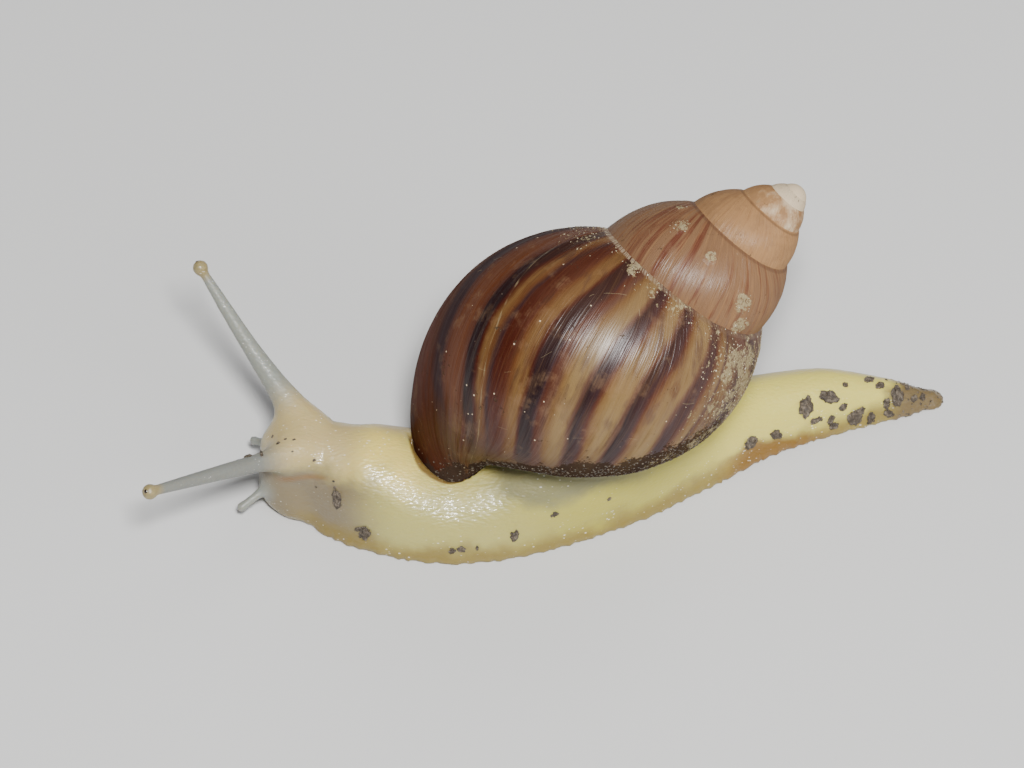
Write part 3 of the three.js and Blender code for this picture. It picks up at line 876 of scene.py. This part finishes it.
def shell_material():
    g = Look("shell")
    growth = g.attribute("growth")
    across = g.attribute("across")
    place = g.place()
    body, fine = body_whorl_colour(g, growth, across, place)
    g.colour = g.mix(growth.step(4.02, 4.26), spire_colour(g, growth, fine), body)
    finest = streaks(g, 420.0, 3.2, 4.0, 2.0)
    g.paint(finest.step(0.45, 0.75) * 0.14, PURPLE)
    g.paint(finest.step(0.5, 0.3) * 0.06, PEACH)

    # A pale scar beside the second band, and short hair scratches.
    scuffs = g.noise(place, 260.0, 4.0, 0.65)
    scar_place = growth + across * 0.045 + (fine - 0.5) * 0.01
    scar = abs(scar_place - 4.874).step(0.0013, 0.0003)
    g.paint(scar * scuffs.step(0.42, 0.58, 0.05, 0.4), DUST)
    scuffed = scuffs.step(0.54, 0.68) * finest.step(0.4, 0.55, 0.25, 1.0)
    g.paint(scuffed * growth.step(4.3, 4.6, 0.0, 0.22), PALE)
    curl = g.noise(place, 75.0, 0.0, 0.5)
    hair = abs(curl - 0.5).step(0.0016, 0.0006)
    hair = hair * g.noise(place, 520.0, 0.0).step(0.6, 0.63)
    g.paint(hair * 0.3, DUST)

    # The pale thread along the newest suture; the older sutures are thin dark lines.
    in_suture = across.step(-0.58, -0.566) * across.step(-0.54, -0.553)
    newest = growth.step(4.62, 4.8, 0.06, 0.34)
    older = growth.step(1.6, 2.6, 0.0, 0.45)
    g.paint(in_suture * older, BROWN)
    beads = g.noise(g.vector(growth * 260.0, 0.0), 1.0, 2.0).step(0.4, 0.52)
    g.paint(in_suture * beads * (newest * growth.step(4.1, 4.3)), CREAM)

    grit = g.noise(place, 2300.0, 3.0, 0.75)
    patch = g.noise(place, 420.0, 2.0, 0.6) - 0.5
    dust = g.attribute("dust_zone") * 0.37 + (patch + (grit - 0.5) * 0.9)
    dust = dust.step(0.34, 0.46)
    crust = g.attribute("crust_zone") * 0.5 + (patch + (grit - 0.5) * 0.8)
    crust = crust.step(0.22, 0.34)
    g.paint(crust * 0.9, CRUST)
    g.paint(dust * 0.85, g.mix(grit.step(0.34, 0.5), BROWN, DUST))
    wide = patch.step(-0.05, 0.2, 0.02, 0.12)
    specks = g.cells(place, 680.0).step(wide, wide * 0.6)
    specks = specks * growth.step(3.0, 4.0, 0.3, 0.85)
    g.paint(specks, CREAM)
    g.paint(g.attribute("inside"), NACRE)
    g.set("Base Color", g.colour)

    dull = g.math("MAXIMUM", dust, crust)
    g.set("Roughness", 0.45 + dull * 0.4)
    g.set("Specular IOR Level", 0.0)
    shine = growth.step(3.3, 4.4, 0.18, 0.42) * growth.step(4.97, 4.89, 0.28, 0.86)
    shine = shine * fine.step(0.3, 0.6, 0.6, 1.15)
    g.set("Coat Weight", shine * (1.0 - dull))
    g.set("Coat Roughness", 0.34)
    g.set("Coat IOR", 1.9)
    relief = fine * 0.8 + finest * 0.8
    dirt_relief = g.math("MAXIMUM", g.attribute("dust_zone"), g.attribute("crust_zone")) * grit
    normal = g.bump(relief + dirt_relief * 2.0, 0.7, 0.00013)
    g.set("Normal", normal)
    g.set("Coat Normal", normal)
    return g.material


# Colours of the flesh, linear.
# Partly painted light: the pale ivory of the top of the body.
IVORY_AND_TOP_LIGHT = (0.740, 0.585, 0.150)
HEAD_PALE = (0.480, 0.370, 0.165)
PALE_FLANK = (0.430, 0.385, 0.120)
FAR_SIDE = (0.520, 0.380, 0.150)
FAR_CREAM = (0.540, 0.450, 0.200)
LILAC = (0.164, 0.122, 0.088)
# Partly painted shade: the darker yellow of the foot's edge by the floor.
MARGIN_YELLOW_AND_SHADE = (0.215, 0.155, 0.040)
FOOT_YELLOW = (0.430, 0.380, 0.060)
EDGE_ORANGE = (0.200, 0.095, 0.014)
TAIL_YELLOW = (0.640, 0.558, 0.125)
TAIL_TIP = (0.165, 0.118, 0.055)
TENTACLE_GREY = (0.238, 0.246, 0.212)
# Painted shade: a darker copy of the tentacle grey for the near tentacle.
SHADED_NEAR_TENTACLE = (0.180, 0.184, 0.164)
KNOB_AMBER = (0.275, 0.220, 0.100)
# Partly painted shade: the darker orange of the fold under the near tentacle.
CREASE_ORANGE_AND_SHADE = (0.230, 0.120, 0.035)
# Partly painted shade: the darkened grey of the flesh that rises into the shell.
STALK_GREY_AND_SHADE = (0.190, 0.180, 0.092)
# Painted shade: the amber shadow where the flesh meets the shell.
SHADE_AMBER = (0.130, 0.070, 0.018)
# Painted shade: the dark amber of the flanks in the shell's shadow.
PAINTED_SHELL_SHADE = (0.200, 0.160, 0.034)
COLLAR_BUFF = (0.260, 0.170, 0.060)
# Painted highlight: the white of the glints painted on the wet bumps.
PAINTED_GLINT_WHITE = (0.930, 0.910, 0.830)


def skin_material():
    g = Look("skin")
    place = g.place()
    run = g.attribute("run")
    left = g.attribute("left")
    under_shell = g.attribute("under_shell")
    tentacle = g.attribute("tentacle")
    cloud = g.noise(place, 220.0, 3.0, 0.5)
    drift = (cloud - 0.5) * 0.35
    high = g.attribute("rise") + drift

    # Partly painted light: the top of the neck and body is paler than the flanks, partly the skin's own
    # tone and partly the light from above.
    ivory = g.mix(run.step(0.13, 0.06), IVORY_AND_TOP_LIGHT, HEAD_PALE)
    g.colour = g.mix(high.step(0.6, 0.9), PALE_FLANK, ivory)
    g.paint((run + drift * 0.15).step(0.26, 0.42), FOOT_YELLOW)
    far = left.step(-0.15, -0.65) * (run.step(0.3, 0.2) * run.step(0.09, 0.13))
    g.paint(far, FAR_SIDE)
    lilac = (run + drift * 0.1).step(0.17, 0.07) * high.step(0.86, 0.62)
    g.paint(lilac * 0.85, LILAC)
    g.paint((run + drift * 0.2).step(0.5, 0.7), TAIL_YELLOW)
    # Partly painted shade: the body under and beside the shell is a darker grey, partly its own tint and
    # partly the shade of the shell.
    stalk = run.step(0.26, 0.31) * run.step(0.56, 0.42)
    stalk = stalk * g.math("MAXIMUM", under_shell.step(0.0, 0.3), high.step(0.5, 0.72))
    g.paint(stalk * 0.9, STALK_GREY_AND_SHADE)
    # Partly painted shade: the lowest band of the sides, by the floor, is a darker yellow, partly the
    # foot's own colour and partly painted shade.
    g.paint(high.step(0.3, 0.08, 0.0, 0.9), MARGIN_YELLOW_AND_SHADE)
    orange_edge = run.step(0.6, 0.68) * run.step(0.88, 0.76)
    orange_edge = orange_edge * (high - run.step(0.74, 0.68, 0.0, 0.14)).step(0.2, 0.07)
    g.paint(orange_edge * 0.85, EDGE_ORANGE)
    beyond = left.step(-0.08, -0.5) * run.step(0.2, 0.34)
    g.paint(beyond * high.step(0.1, 0.3, 0.35, 0.8), FAR_CREAM)
    tip = (run + drift * 0.35).step(0.915, 0.955)
    g.paint(tip, TAIL_TIP)
    # Painted shade: the near tentacle is a darker grey than the far one.
    grey = g.mix(left.step(0.1, 0.6), TENTACLE_GREY, SHADED_NEAR_TENTACLE)
    g.paint(tentacle, grey)
    g.paint(g.attribute("feeler"), TENTACLE_GREY)
    g.paint(g.attribute("knob"), KNOB_AMBER)
    # Partly painted shade: the fold's line, the skin's orange tone darkened as if in the fold's shade.
    g.paint(g.attribute("crease"), CREASE_ORANGE_AND_SHADE)
    # Painted shade: the sides of the body below the shell are darkened where the shell shades them.
    shaded = run.step(0.42, 0.5) * run.step(0.7, 0.62)
    shaded = shaded * under_shell.step(0.1, 0.6)
    g.paint(shaded * beyond.step(0.0, 1.0, 0.8, 0.15), PAINTED_SHELL_SHADE)
    # Painted shade: a dark amber band where the flesh meets the shell, wider by the lip.
    by_lip = run.step(0.16, 0.19) * run.step(0.29, 0.25)
    rim = (under_shell + by_lip * 0.5).step(0.76, 1.02, 0.0, 0.9)
    g.paint(rim, SHADE_AMBER)
    g.paint(g.attribute("collar"), COLLAR_BUFF)

    # Low wet bumps, with painted highlights: white glint spots on some of them, densest along the neck and
    # the edge of the foot.
    along = g.stretched(place, (1.0, 0.45, 1.0))
    pebbles = g.cells(along, 2900.0)
    grains = g.noise(along, 4600.0, 2.0, 0.6)
    patches = g.noise(place, 330.0, 2.0, 0.6)
    crowd = g.math("MAXIMUM", high.step(0.66, 0.86, 0.25, 1.0), high.step(0.4, 0.18, 0.25, 1.0))
    crowd = crowd * tentacle.step(0.0, 1.0, 1.0, 0.55)
    crowd = crowd * (patches + (grains - 0.5) * 0.5).step(0.46, 0.62)
    crowd = crowd * tip.step(1.0, 0.0, 0.3, 1.0)
    # Painted highlight: small white spots that stand for wet glints.
    painted_glints = g.cells(along, 2300.0).step(0.22, 0.1) * crowd
    g.paint(painted_glints * 0.75, PAINTED_GLINT_WHITE)
    g.set("Base Color", g.colour)

    bumps = 1.0 - pebbles + grains * 0.4
    normal = g.bump(bumps, 0.55, 0.0001)
    g.set("Normal", normal)
    rough = 0.3 + cloud * 0.18 + tentacle * 0.12
    g.set("Roughness", rough - painted_glints * 0.15)
    g.set("Subsurface Weight", 0.25)
    g.set("Subsurface Radius", (1.0, 0.62, 0.25))
    g.set("Subsurface Scale", 0.0010)
    g.set("Specular IOR Level", 0.5)
    g.set("Coat Weight", tentacle.step(0.0, 0.6, 0.5, 0.16))
    g.set("Coat Roughness", 0.08)
    g.set("Coat IOR", 1.38)
    g.set("Coat Normal", normal)
    return g.material


# Colours of the eyes, the wet soil and the dry soil, by the strength of a noise.
EYE_COLOURS = [(0.3, (0.010, 0.007, 0.006)), (0.8, (0.045, 0.028, 0.016))]
MUD_COLOURS = [(0.28, (0.022, 0.017, 0.013)), (0.5, (0.075, 0.057, 0.040)), (0.72, (0.240, 0.195, 0.140))]
GRIT_COLOURS = [(0.30, (0.120, 0.085, 0.045)), (0.48, (0.300, 0.240, 0.140)), (0.70, (0.620, 0.560, 0.420))]


def eye_material():
    g = Look("eye")
    g.set("Base Color", g.ramp(g.noise(g.place(), 3000.0), EYE_COLOURS))
    g.set("Roughness", 0.1 + g.noise(g.place(), 5000.0) * 0.1)
    g.set("Coat Weight", 0.8)
    g.set("Coat Roughness", 0.05)
    return g.material


def mud_material():
    g = Look("mud")
    place = g.place()
    g.set("Base Color", g.ramp(g.noise(place, 1900.0, 4.0, 0.7), MUD_COLOURS))
    g.set("Roughness", g.noise(place, 2600.0).step(0.35, 0.65, 0.22, 0.8))
    g.set("Normal", g.bump(g.noise(place, 6000.0, 3.0, 0.7), 0.8, 0.00015))
    return g.material


def grit_material():
    g = Look("grit")
    place = g.place()
    g.set("Base Color", g.ramp(g.noise(place, 2400.0, 2.0, 0.6), GRIT_COLOURS))
    g.set("Roughness", 0.8)
    g.set("Normal", g.bump(g.noise(place, 9000.0, 2.0, 0.6), 0.5, 5e-05))
    return g.material


# ---------------- raised bumps and scattered grains

TUBERCLE_SIZE = 0.00085
TUBERCLE_HEIGHT = 0.000016
TUBERCLE_SOFTNESS = 0.35
TUBERCLE_EDGE = (0.1, 0.75)
TENTACLE_SHARE = 0.25
FLAT_BELOW = 0.0008
SMALLEST_GRAIN = (0.35, 0.35, 0.25)
LARGEST_GRAIN = (1.3, 1.3, 0.8)


def open_tree(name, settings):
    """A tree for surfaces, with its settings by name and kind, and the values that come in."""
    tree = bpy.data.node_groups.new(name, "GeometryNodeTree")
    settings = {"Geometry": "Geometry", **settings}
    for label, kind in settings.items():
        tree.interface.new_socket(label, in_out="INPUT", socket_type="NodeSocket" + kind)
    tree.interface.new_socket("Geometry", in_out="OUTPUT", socket_type="NodeSocketGeometry")
    g = Graph(tree)
    first = g.node("NodeGroupInput", {})
    return g, {label: first.sibling(label) for label in settings}


def close_tree(g, geometry, material):
    """Ends a tree in real geometry with one material."""
    real = g.node("GeometryNodeRealizeInstances", {0: geometry})
    dressed = g.node("GeometryNodeSetMaterial", {"Geometry": real, "Material": material})
    g.put(g.tree.nodes.new("NodeGroupOutput").inputs[0], dressed)
    return g.tree


def zone_value(g, zone):
    return g.node("GeometryNodeInputNamedAttribute", {"Name": zone}, data_type="FLOAT")


def tubercle_tree(material):
    """Raises low round bumps all over a surface, lower on the tentacles and none at the floor."""
    g, given = open_tree("tubercles", {"Size": "Float", "Height": "Float"})
    place = g.node("GeometryNodeInputPosition", {})
    scale = g.math("DIVIDE", 1.0, given["Size"])
    values = {"Vector": place, "Scale": scale, "Smoothness": TUBERCLE_SOFTNESS}
    cells = g.node("ShaderNodeTexVoronoi", values, "Distance", feature="SMOOTH_F1")
    dome = cells.step(*TUBERCLE_EDGE, 1.0, 0.0, "LINEAR")
    calm = zone_value(g, "tentacle").step(0.0, 1.0, 1.0, TENTACLE_SHARE, "LINEAR")
    height = g.node("ShaderNodeSeparateXYZ", {0: place}, "Z")
    off_floor = height.step(0.0, FLAT_BELOW, 0.0, 1.0, "LINEAR")
    amount = dome * calm * off_floor * given["Height"]
    normal = g.node("GeometryNodeInputNormal", {})
    outward = g.node("ShaderNodeVectorMath", {0: normal, "Scale": amount}, operation="SCALE")
    moved = g.node("GeometryNodeSetPosition", {"Geometry": given["Geometry"], "Offset": outward})
    return close_tree(g, moved, material)


def grit_tree(material, zone):
    """Scatters small ragged grains where the surface's zone number is high."""
    g, given = open_tree("grit", {"Density": "Float", "Grain size": "Float", "Seed": "Int"})
    density = g.math("POWER", zone_value(g, zone), 2.0) * given["Density"]
    values = {"Mesh": given["Geometry"], "Density": density, "Seed": given["Seed"]}
    points = g.node("GeometryNodeDistributePointsOnFaces", values, "Points")
    grain = g.node("GeometryNodeMeshIcoSphere", {"Subdivisions": 2, "Radius": given["Grain size"]}, "Mesh")
    values = {0: SMALLEST_GRAIN, 1: LARGEST_GRAIN, "Seed": given["Seed"]}
    size = g.node("FunctionNodeRandomValue", values, data_type="FLOAT_VECTOR")
    values = {"Points": points, "Instance": grain, "Rotation": points.sibling("Rotation"), "Scale": size}
    return close_tree(g, g.node("GeometryNodeInstanceOnPoints", values), material)


def apply_tree(piece, tree, settings):
    """Runs a tree over a piece with its settings by name, and keeps the result as the piece's own mesh."""
    modifier = piece.modifiers.new("tree", "NODES")
    modifier.node_group = tree
    for item in tree.interface.items_tree:
        if item.in_out == "INPUT" and item.name in settings:
            modifier[item.identifier] = settings[item.name]
    depsgraph = bpy.context.evaluated_depsgraph_get()
    data = bpy.data.meshes.new_from_object(piece.evaluated_get(depsgraph))
    piece.modifiers.clear()
    old = piece.data
    piece.data = data
    bpy.data.meshes.remove(old)
    data.name = piece.name


# ---------------- eyes

EYE_RADIUS = 0.30
EYE_SUNK = 0.18
EYE_FLATTENING = 0.25
EYE_LOOKS = {"left": (0.50, -0.50, 0.70), "right": (-0.62, -0.50, 0.60)}


def finished_object(name, work, look, smooth):
    """An object from a mesh that was being worked on."""
    for face in work.faces:
        face.smooth = smooth
    data = bpy.data.meshes.new(name)
    work.to_mesh(data)
    work.free()
    data.materials.append(look)
    return new_object(name, data)


def make_eyes(look):
    for side, direction in EYE_LOOKS.items():
        tip = np.array(UPPER_TENTACLES[side][1])
        toward = np.array(direction) / np.linalg.norm(direction)
        centre = tip + toward * (KNOB_RADIUS - EYE_SUNK)
        work = bmesh.new()
        bmesh.ops.create_icosphere(work, subdivisions=4, radius=EYE_RADIUS * MM)
        for vertex in work.verts:
            flat = vertex.co.dot(Vector(toward))
            vertex.co -= Vector(toward) * flat * EYE_FLATTENING
            vertex.co += Vector(centre) * MM
        eye = finished_object("eye_bead_" + side, work, look, smooth=True)
        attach(eye, "root")
        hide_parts("eye_" + side)


# ---------------- soil on the animal

GRIT_SEED = 7
MUD_SEED = 11
MUD_DIRECTION = Vector((-0.3, 1.0, 0.0))
LUMP_HEIGHT = 0.28
LUMP_HEIGHT_LIMIT = 0.45
CRUMB_REACH = (0.55, 1.1)
CRUMB_SIZE = (0.10, 0.26)

# Place, length and width in millimetres, and turn away from the body's length in degrees.
MUD_LUMPS = [
    (6.49, -33.96, 6.35, 2.7, 1.3, 85), (9.32, -30.38, 2.69, 2.0, 1.5, 70),
    (8.9, -31.2, 3.1, 0.9, 0.6, 30), (-0.37, -42.24, 10.38, 0.6, 0.35, 60),
    (1.02, -40.51, 11.25, 0.45, 0.3, 0), (1.11, -39.48, 11.37, 0.5, 0.3, 0),
    (1.68, -41.40, 11.04, 0.55, 0.4, 20), (2.64, -39.71, 10.99, 0.3, 0.25, 0),
    (3.9, -43.6, 11.5, 1.5, 0.45, 80), (4.6, -45.2, 11.9, 0.9, 0.8, 0), (5.3, -46.4, 12.0, 0.5, 0.4, 0),
    (5.2, -45.0, 11.0, 0.4, 0.3, 0), (3.00, -36.91, 9.81, 0.5, 0.4, 20),
    (5.04, -34.33, 8.04, 0.35, 0.3, 0), (4.56, -36.56, 6.43, 0.4, 0.3, 0),
    (10.31, -11.05, 3.51, 1.5, 1.0, 70), (8.57, -5.91, 5.65, 0.9, 0.7, 40),
    (5.97, 1.06, 5.52, 0.7, 0.5, 10), (11.68, -19.16, 1.93, 0.9, 0.7, 20),
    (11.55, -18.00, 2.18, 1.0, 0.7, -20), (11.40, -15.94, 2.20, 0.8, 0.4, 80),
    (-4.83, 19.90, 3.55, 1.8, 1.4, 20), (-6.64, 23.21, 3.00, 1.5, 1.2, -30),
    (-9.72, 26.88, 5.00, 2.6, 1.9, 70), (-11.47, 29.92, 5.14, 2.6, 1.5, -25),
    (-13.38, 32.06, 5.29, 0.8, 0.7, 0), (-11.07, 31.79, 3.58, 1.1, 0.8, 30),
    (-9.23, 28.24, 2.93, 1.6, 0.8, 10), (-9.87, 30.23, 2.37, 1.4, 0.8, 50),
    (-9.6, 30.6, 1.5, 1.2, 0.9, 0), (-10.86, 33.42, 1.79, 2.2, 1.9, 40),
    (-11.0, 34.4, 2.6, 1.2, 0.8, 60), (-11.21, 35.55, 1.17, 1.5, 1.0, 60),
    (-14.94, 35.28, 4.46, 1.4, 0.8, 0), (-14.3, 36.70, 4.0, 1.3, 0.9, 30),
    (-12.6, 37.6, 2.4, 1.4, 0.9, 80), (-11.9, 37.9, 1.2, 1.5, 0.9, -30),
    (-13.6, 38.9, 3.0, 2.4, 1.6, 80), (-13.9, 41.2, 1.9, 1.0, 0.8, 20), (-14.6, 42.2, 1.3, 0.9, 0.7, 0),
    (-14.9, 40.2, 2.5, 0.8, 0.6, 40),
]


def make_grit(name, ground, zone, density, grain_size, look):
    """Grains of soil over part of a surface, as a piece of their own."""
    piece = new_object(name, ground.data.copy())
    settings = {"Density": density, "Grain size": grain_size, "Seed": GRIT_SEED}
    apply_tree(piece, grit_tree(look, zone), settings)
    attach(piece, "root")


def add_lump(work, place, out, along, size, draw, steps):
    """One ragged lump of soil, sunk a little into the surface."""
    side = out.cross(along).normalized()
    long, wide, high = size
    shift = Vector((draw.uniform(-9, 9), draw.uniform(-9, 9), draw.uniform(-9, 9)))
    made = bmesh.ops.create_icosphere(work, subdivisions=steps, radius=1.0)
    for vertex in made["verts"]:
        co = vertex.co.copy()
        co *= 1 + 0.55 * noise.noise(co * 1.7 + shift) + 0.28 * noise.noise(co * 4.1 + shift)
        spot = place + along * co.x * long + side * co.y * wide + out * (co.z * high + high * 0.25)
        vertex.co = spot * MM


def make_mud(skin, look):
    draw = random.Random(MUD_SEED)
    tree = BVHTree.FromObject(skin, bpy.context.evaluated_depsgraph_get())
    work = bmesh.new()
    for x, y, z, length, width, turn in MUD_LUMPS:
        hit, out, _, _ = tree.find_nearest(Vector((x, y, z)) * MM)
        place = hit / MM
        ahead = (MUD_DIRECTION - out * MUD_DIRECTION.dot(out)).normalized()
        along = Quaternion(out, math.radians(turn)) @ ahead
        side = out.cross(along).normalized()
        size = (length / 2, width / 2, min(LUMP_HEIGHT_LIMIT, width * LUMP_HEIGHT))
        add_lump(work, place, out, along, size, draw, 3 if width > 0.7 else 2)
        for _ in range(int(4 + 6 * width) if width > 0.5 else 0):
            angle = draw.uniform(0, TURN)
            reach = draw.uniform(*CRUMB_REACH)
            off = along * math.cos(angle) * length / 2 * reach + side * math.sin(angle) * width / 2 * reach
            crumb = draw.uniform(*CRUMB_SIZE)
            add_lump(work, place + off, out, along, (crumb, crumb * 0.8, crumb * 0.7), draw, 1)
    mud = finished_object("mud", work, look, smooth=False)
    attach(mud, "root")


# ---------------- camera, floor and light

VIEW_CENTRE = Vector((-10.56, -11.44, 8.86)) * MM
VIEW_HEIGHT_ANGLE = math.radians(50)
VIEW_DISTANCE = 0.9
VIEW_WIDTH = 0.1331
SENSOR_WIDTH = 36.0
NEAREST_SEEN = 0.01
FLOOR_HALF = 1.5
FLOOR_COLOUR = (0.64, 0.635, 0.62)

# Name, place, size, power, and whether it shows as a highlight.
LIGHTS = [
    ("key", (0.395, 0.040, 0.672), 0.14, 9.5, True),
    ("fill", (0.45, 0.75, 0.40), 0.5, 3.2, False),
    ("back", (-0.6, 0.35, 0.7), 0.5, 1.8, False),
]
SKY_COLOUR = (0.9, 0.93, 1.0, 1)
SKY_STRENGTH = 0.22


def aim(thing, target):
    thing.rotation_euler = (target - thing.location).to_track_quat("-Z", "Y").to_euler()


def make_camera():
    data = bpy.data.cameras.new("camera")
    data.sensor_width = SENSOR_WIDTH
    data.lens = SENSOR_WIDTH * VIEW_DISTANCE / VIEW_WIDTH
    data.clip_start = NEAREST_SEEN
    camera = new_object("camera", data)
    direction = Vector((math.cos(VIEW_HEIGHT_ANGLE), 0, math.sin(VIEW_HEIGHT_ANGLE)))
    camera.location = VIEW_CENTRE + direction * VIEW_DISTANCE
    aim(camera, VIEW_CENTRE)
    bpy.context.scene.camera = camera


def make_floor():
    half = FLOOR_HALF
    corners = [(-half, -half, 0), (half, -half, 0), (half, half, 0), (-half, half, 0)]
    data = bpy.data.meshes.new("floor")
    data.from_pydata(corners, [], [(0, 1, 2, 3)])
    floor = new_object("floor", data)
    g = Look("floor")
    g.set("Base Color", FLOOR_COLOUR)
    g.set("Roughness", 0.8)
    data.materials.append(g.material)


def make_lights():
    for name, place, size, power, mirrored in LIGHTS:
        data = bpy.data.lights.new(name, "AREA")
        data.size = size
        data.energy = power
        light = new_object(name, data)
        light.location = place
        light.visible_glossy = mirrored
        aim(light, VIEW_CENTRE)
    world = bpy.data.worlds.new("studio")
    world.use_nodes = True
    sky = world.node_tree.nodes["Background"].inputs
    sky["Color"].default_value = SKY_COLOUR
    sky["Strength"].default_value = SKY_STRENGTH
    world.cycles_visibility.glossy = False
    bpy.context.scene.world = world


make_camera()
make_floor()
make_lights()

skin = make_skin()
apply_tree(skin, tubercle_tree(skin_material()), {"Size": TUBERCLE_SIZE, "Height": TUBERCLE_HEIGHT})
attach(skin, "root")
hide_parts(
    "head", "neck", "body_stalk", "foot_front", "foot_middle", "foot_rear", "tail_base", "tail_tip",
    "mantle_collar", "tentacle_upper_left", "tentacle_upper_right", "tentacle_lower_left",
    "tentacle_lower_right",
)

make_eyes(eye_material())

shell = make_shell()
shell.data.materials.append(shell_material())
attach(shell, "root")
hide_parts("shell_body_whorl", "shell_spire", "shell_apex")

mud_look = mud_material()
make_mud(skin, mud_look)
grit_look = grit_material()
# Grains per square metre, and their radius in metres.
make_grit("tail_grit", skin, "tip_crust", 2.2e6, 0.00017, mud_look)
make_grit("shell_crust", shell, "crust_zone", 3.0e6, 0.00013, mud_look)
make_grit("shell_dust", shell, "dust_zone", 2.6e6, 0.00010, grit_look)
make_grit("shell_specks", shell, "crust_zone", 0.8e6, 0.00008, grit_look)
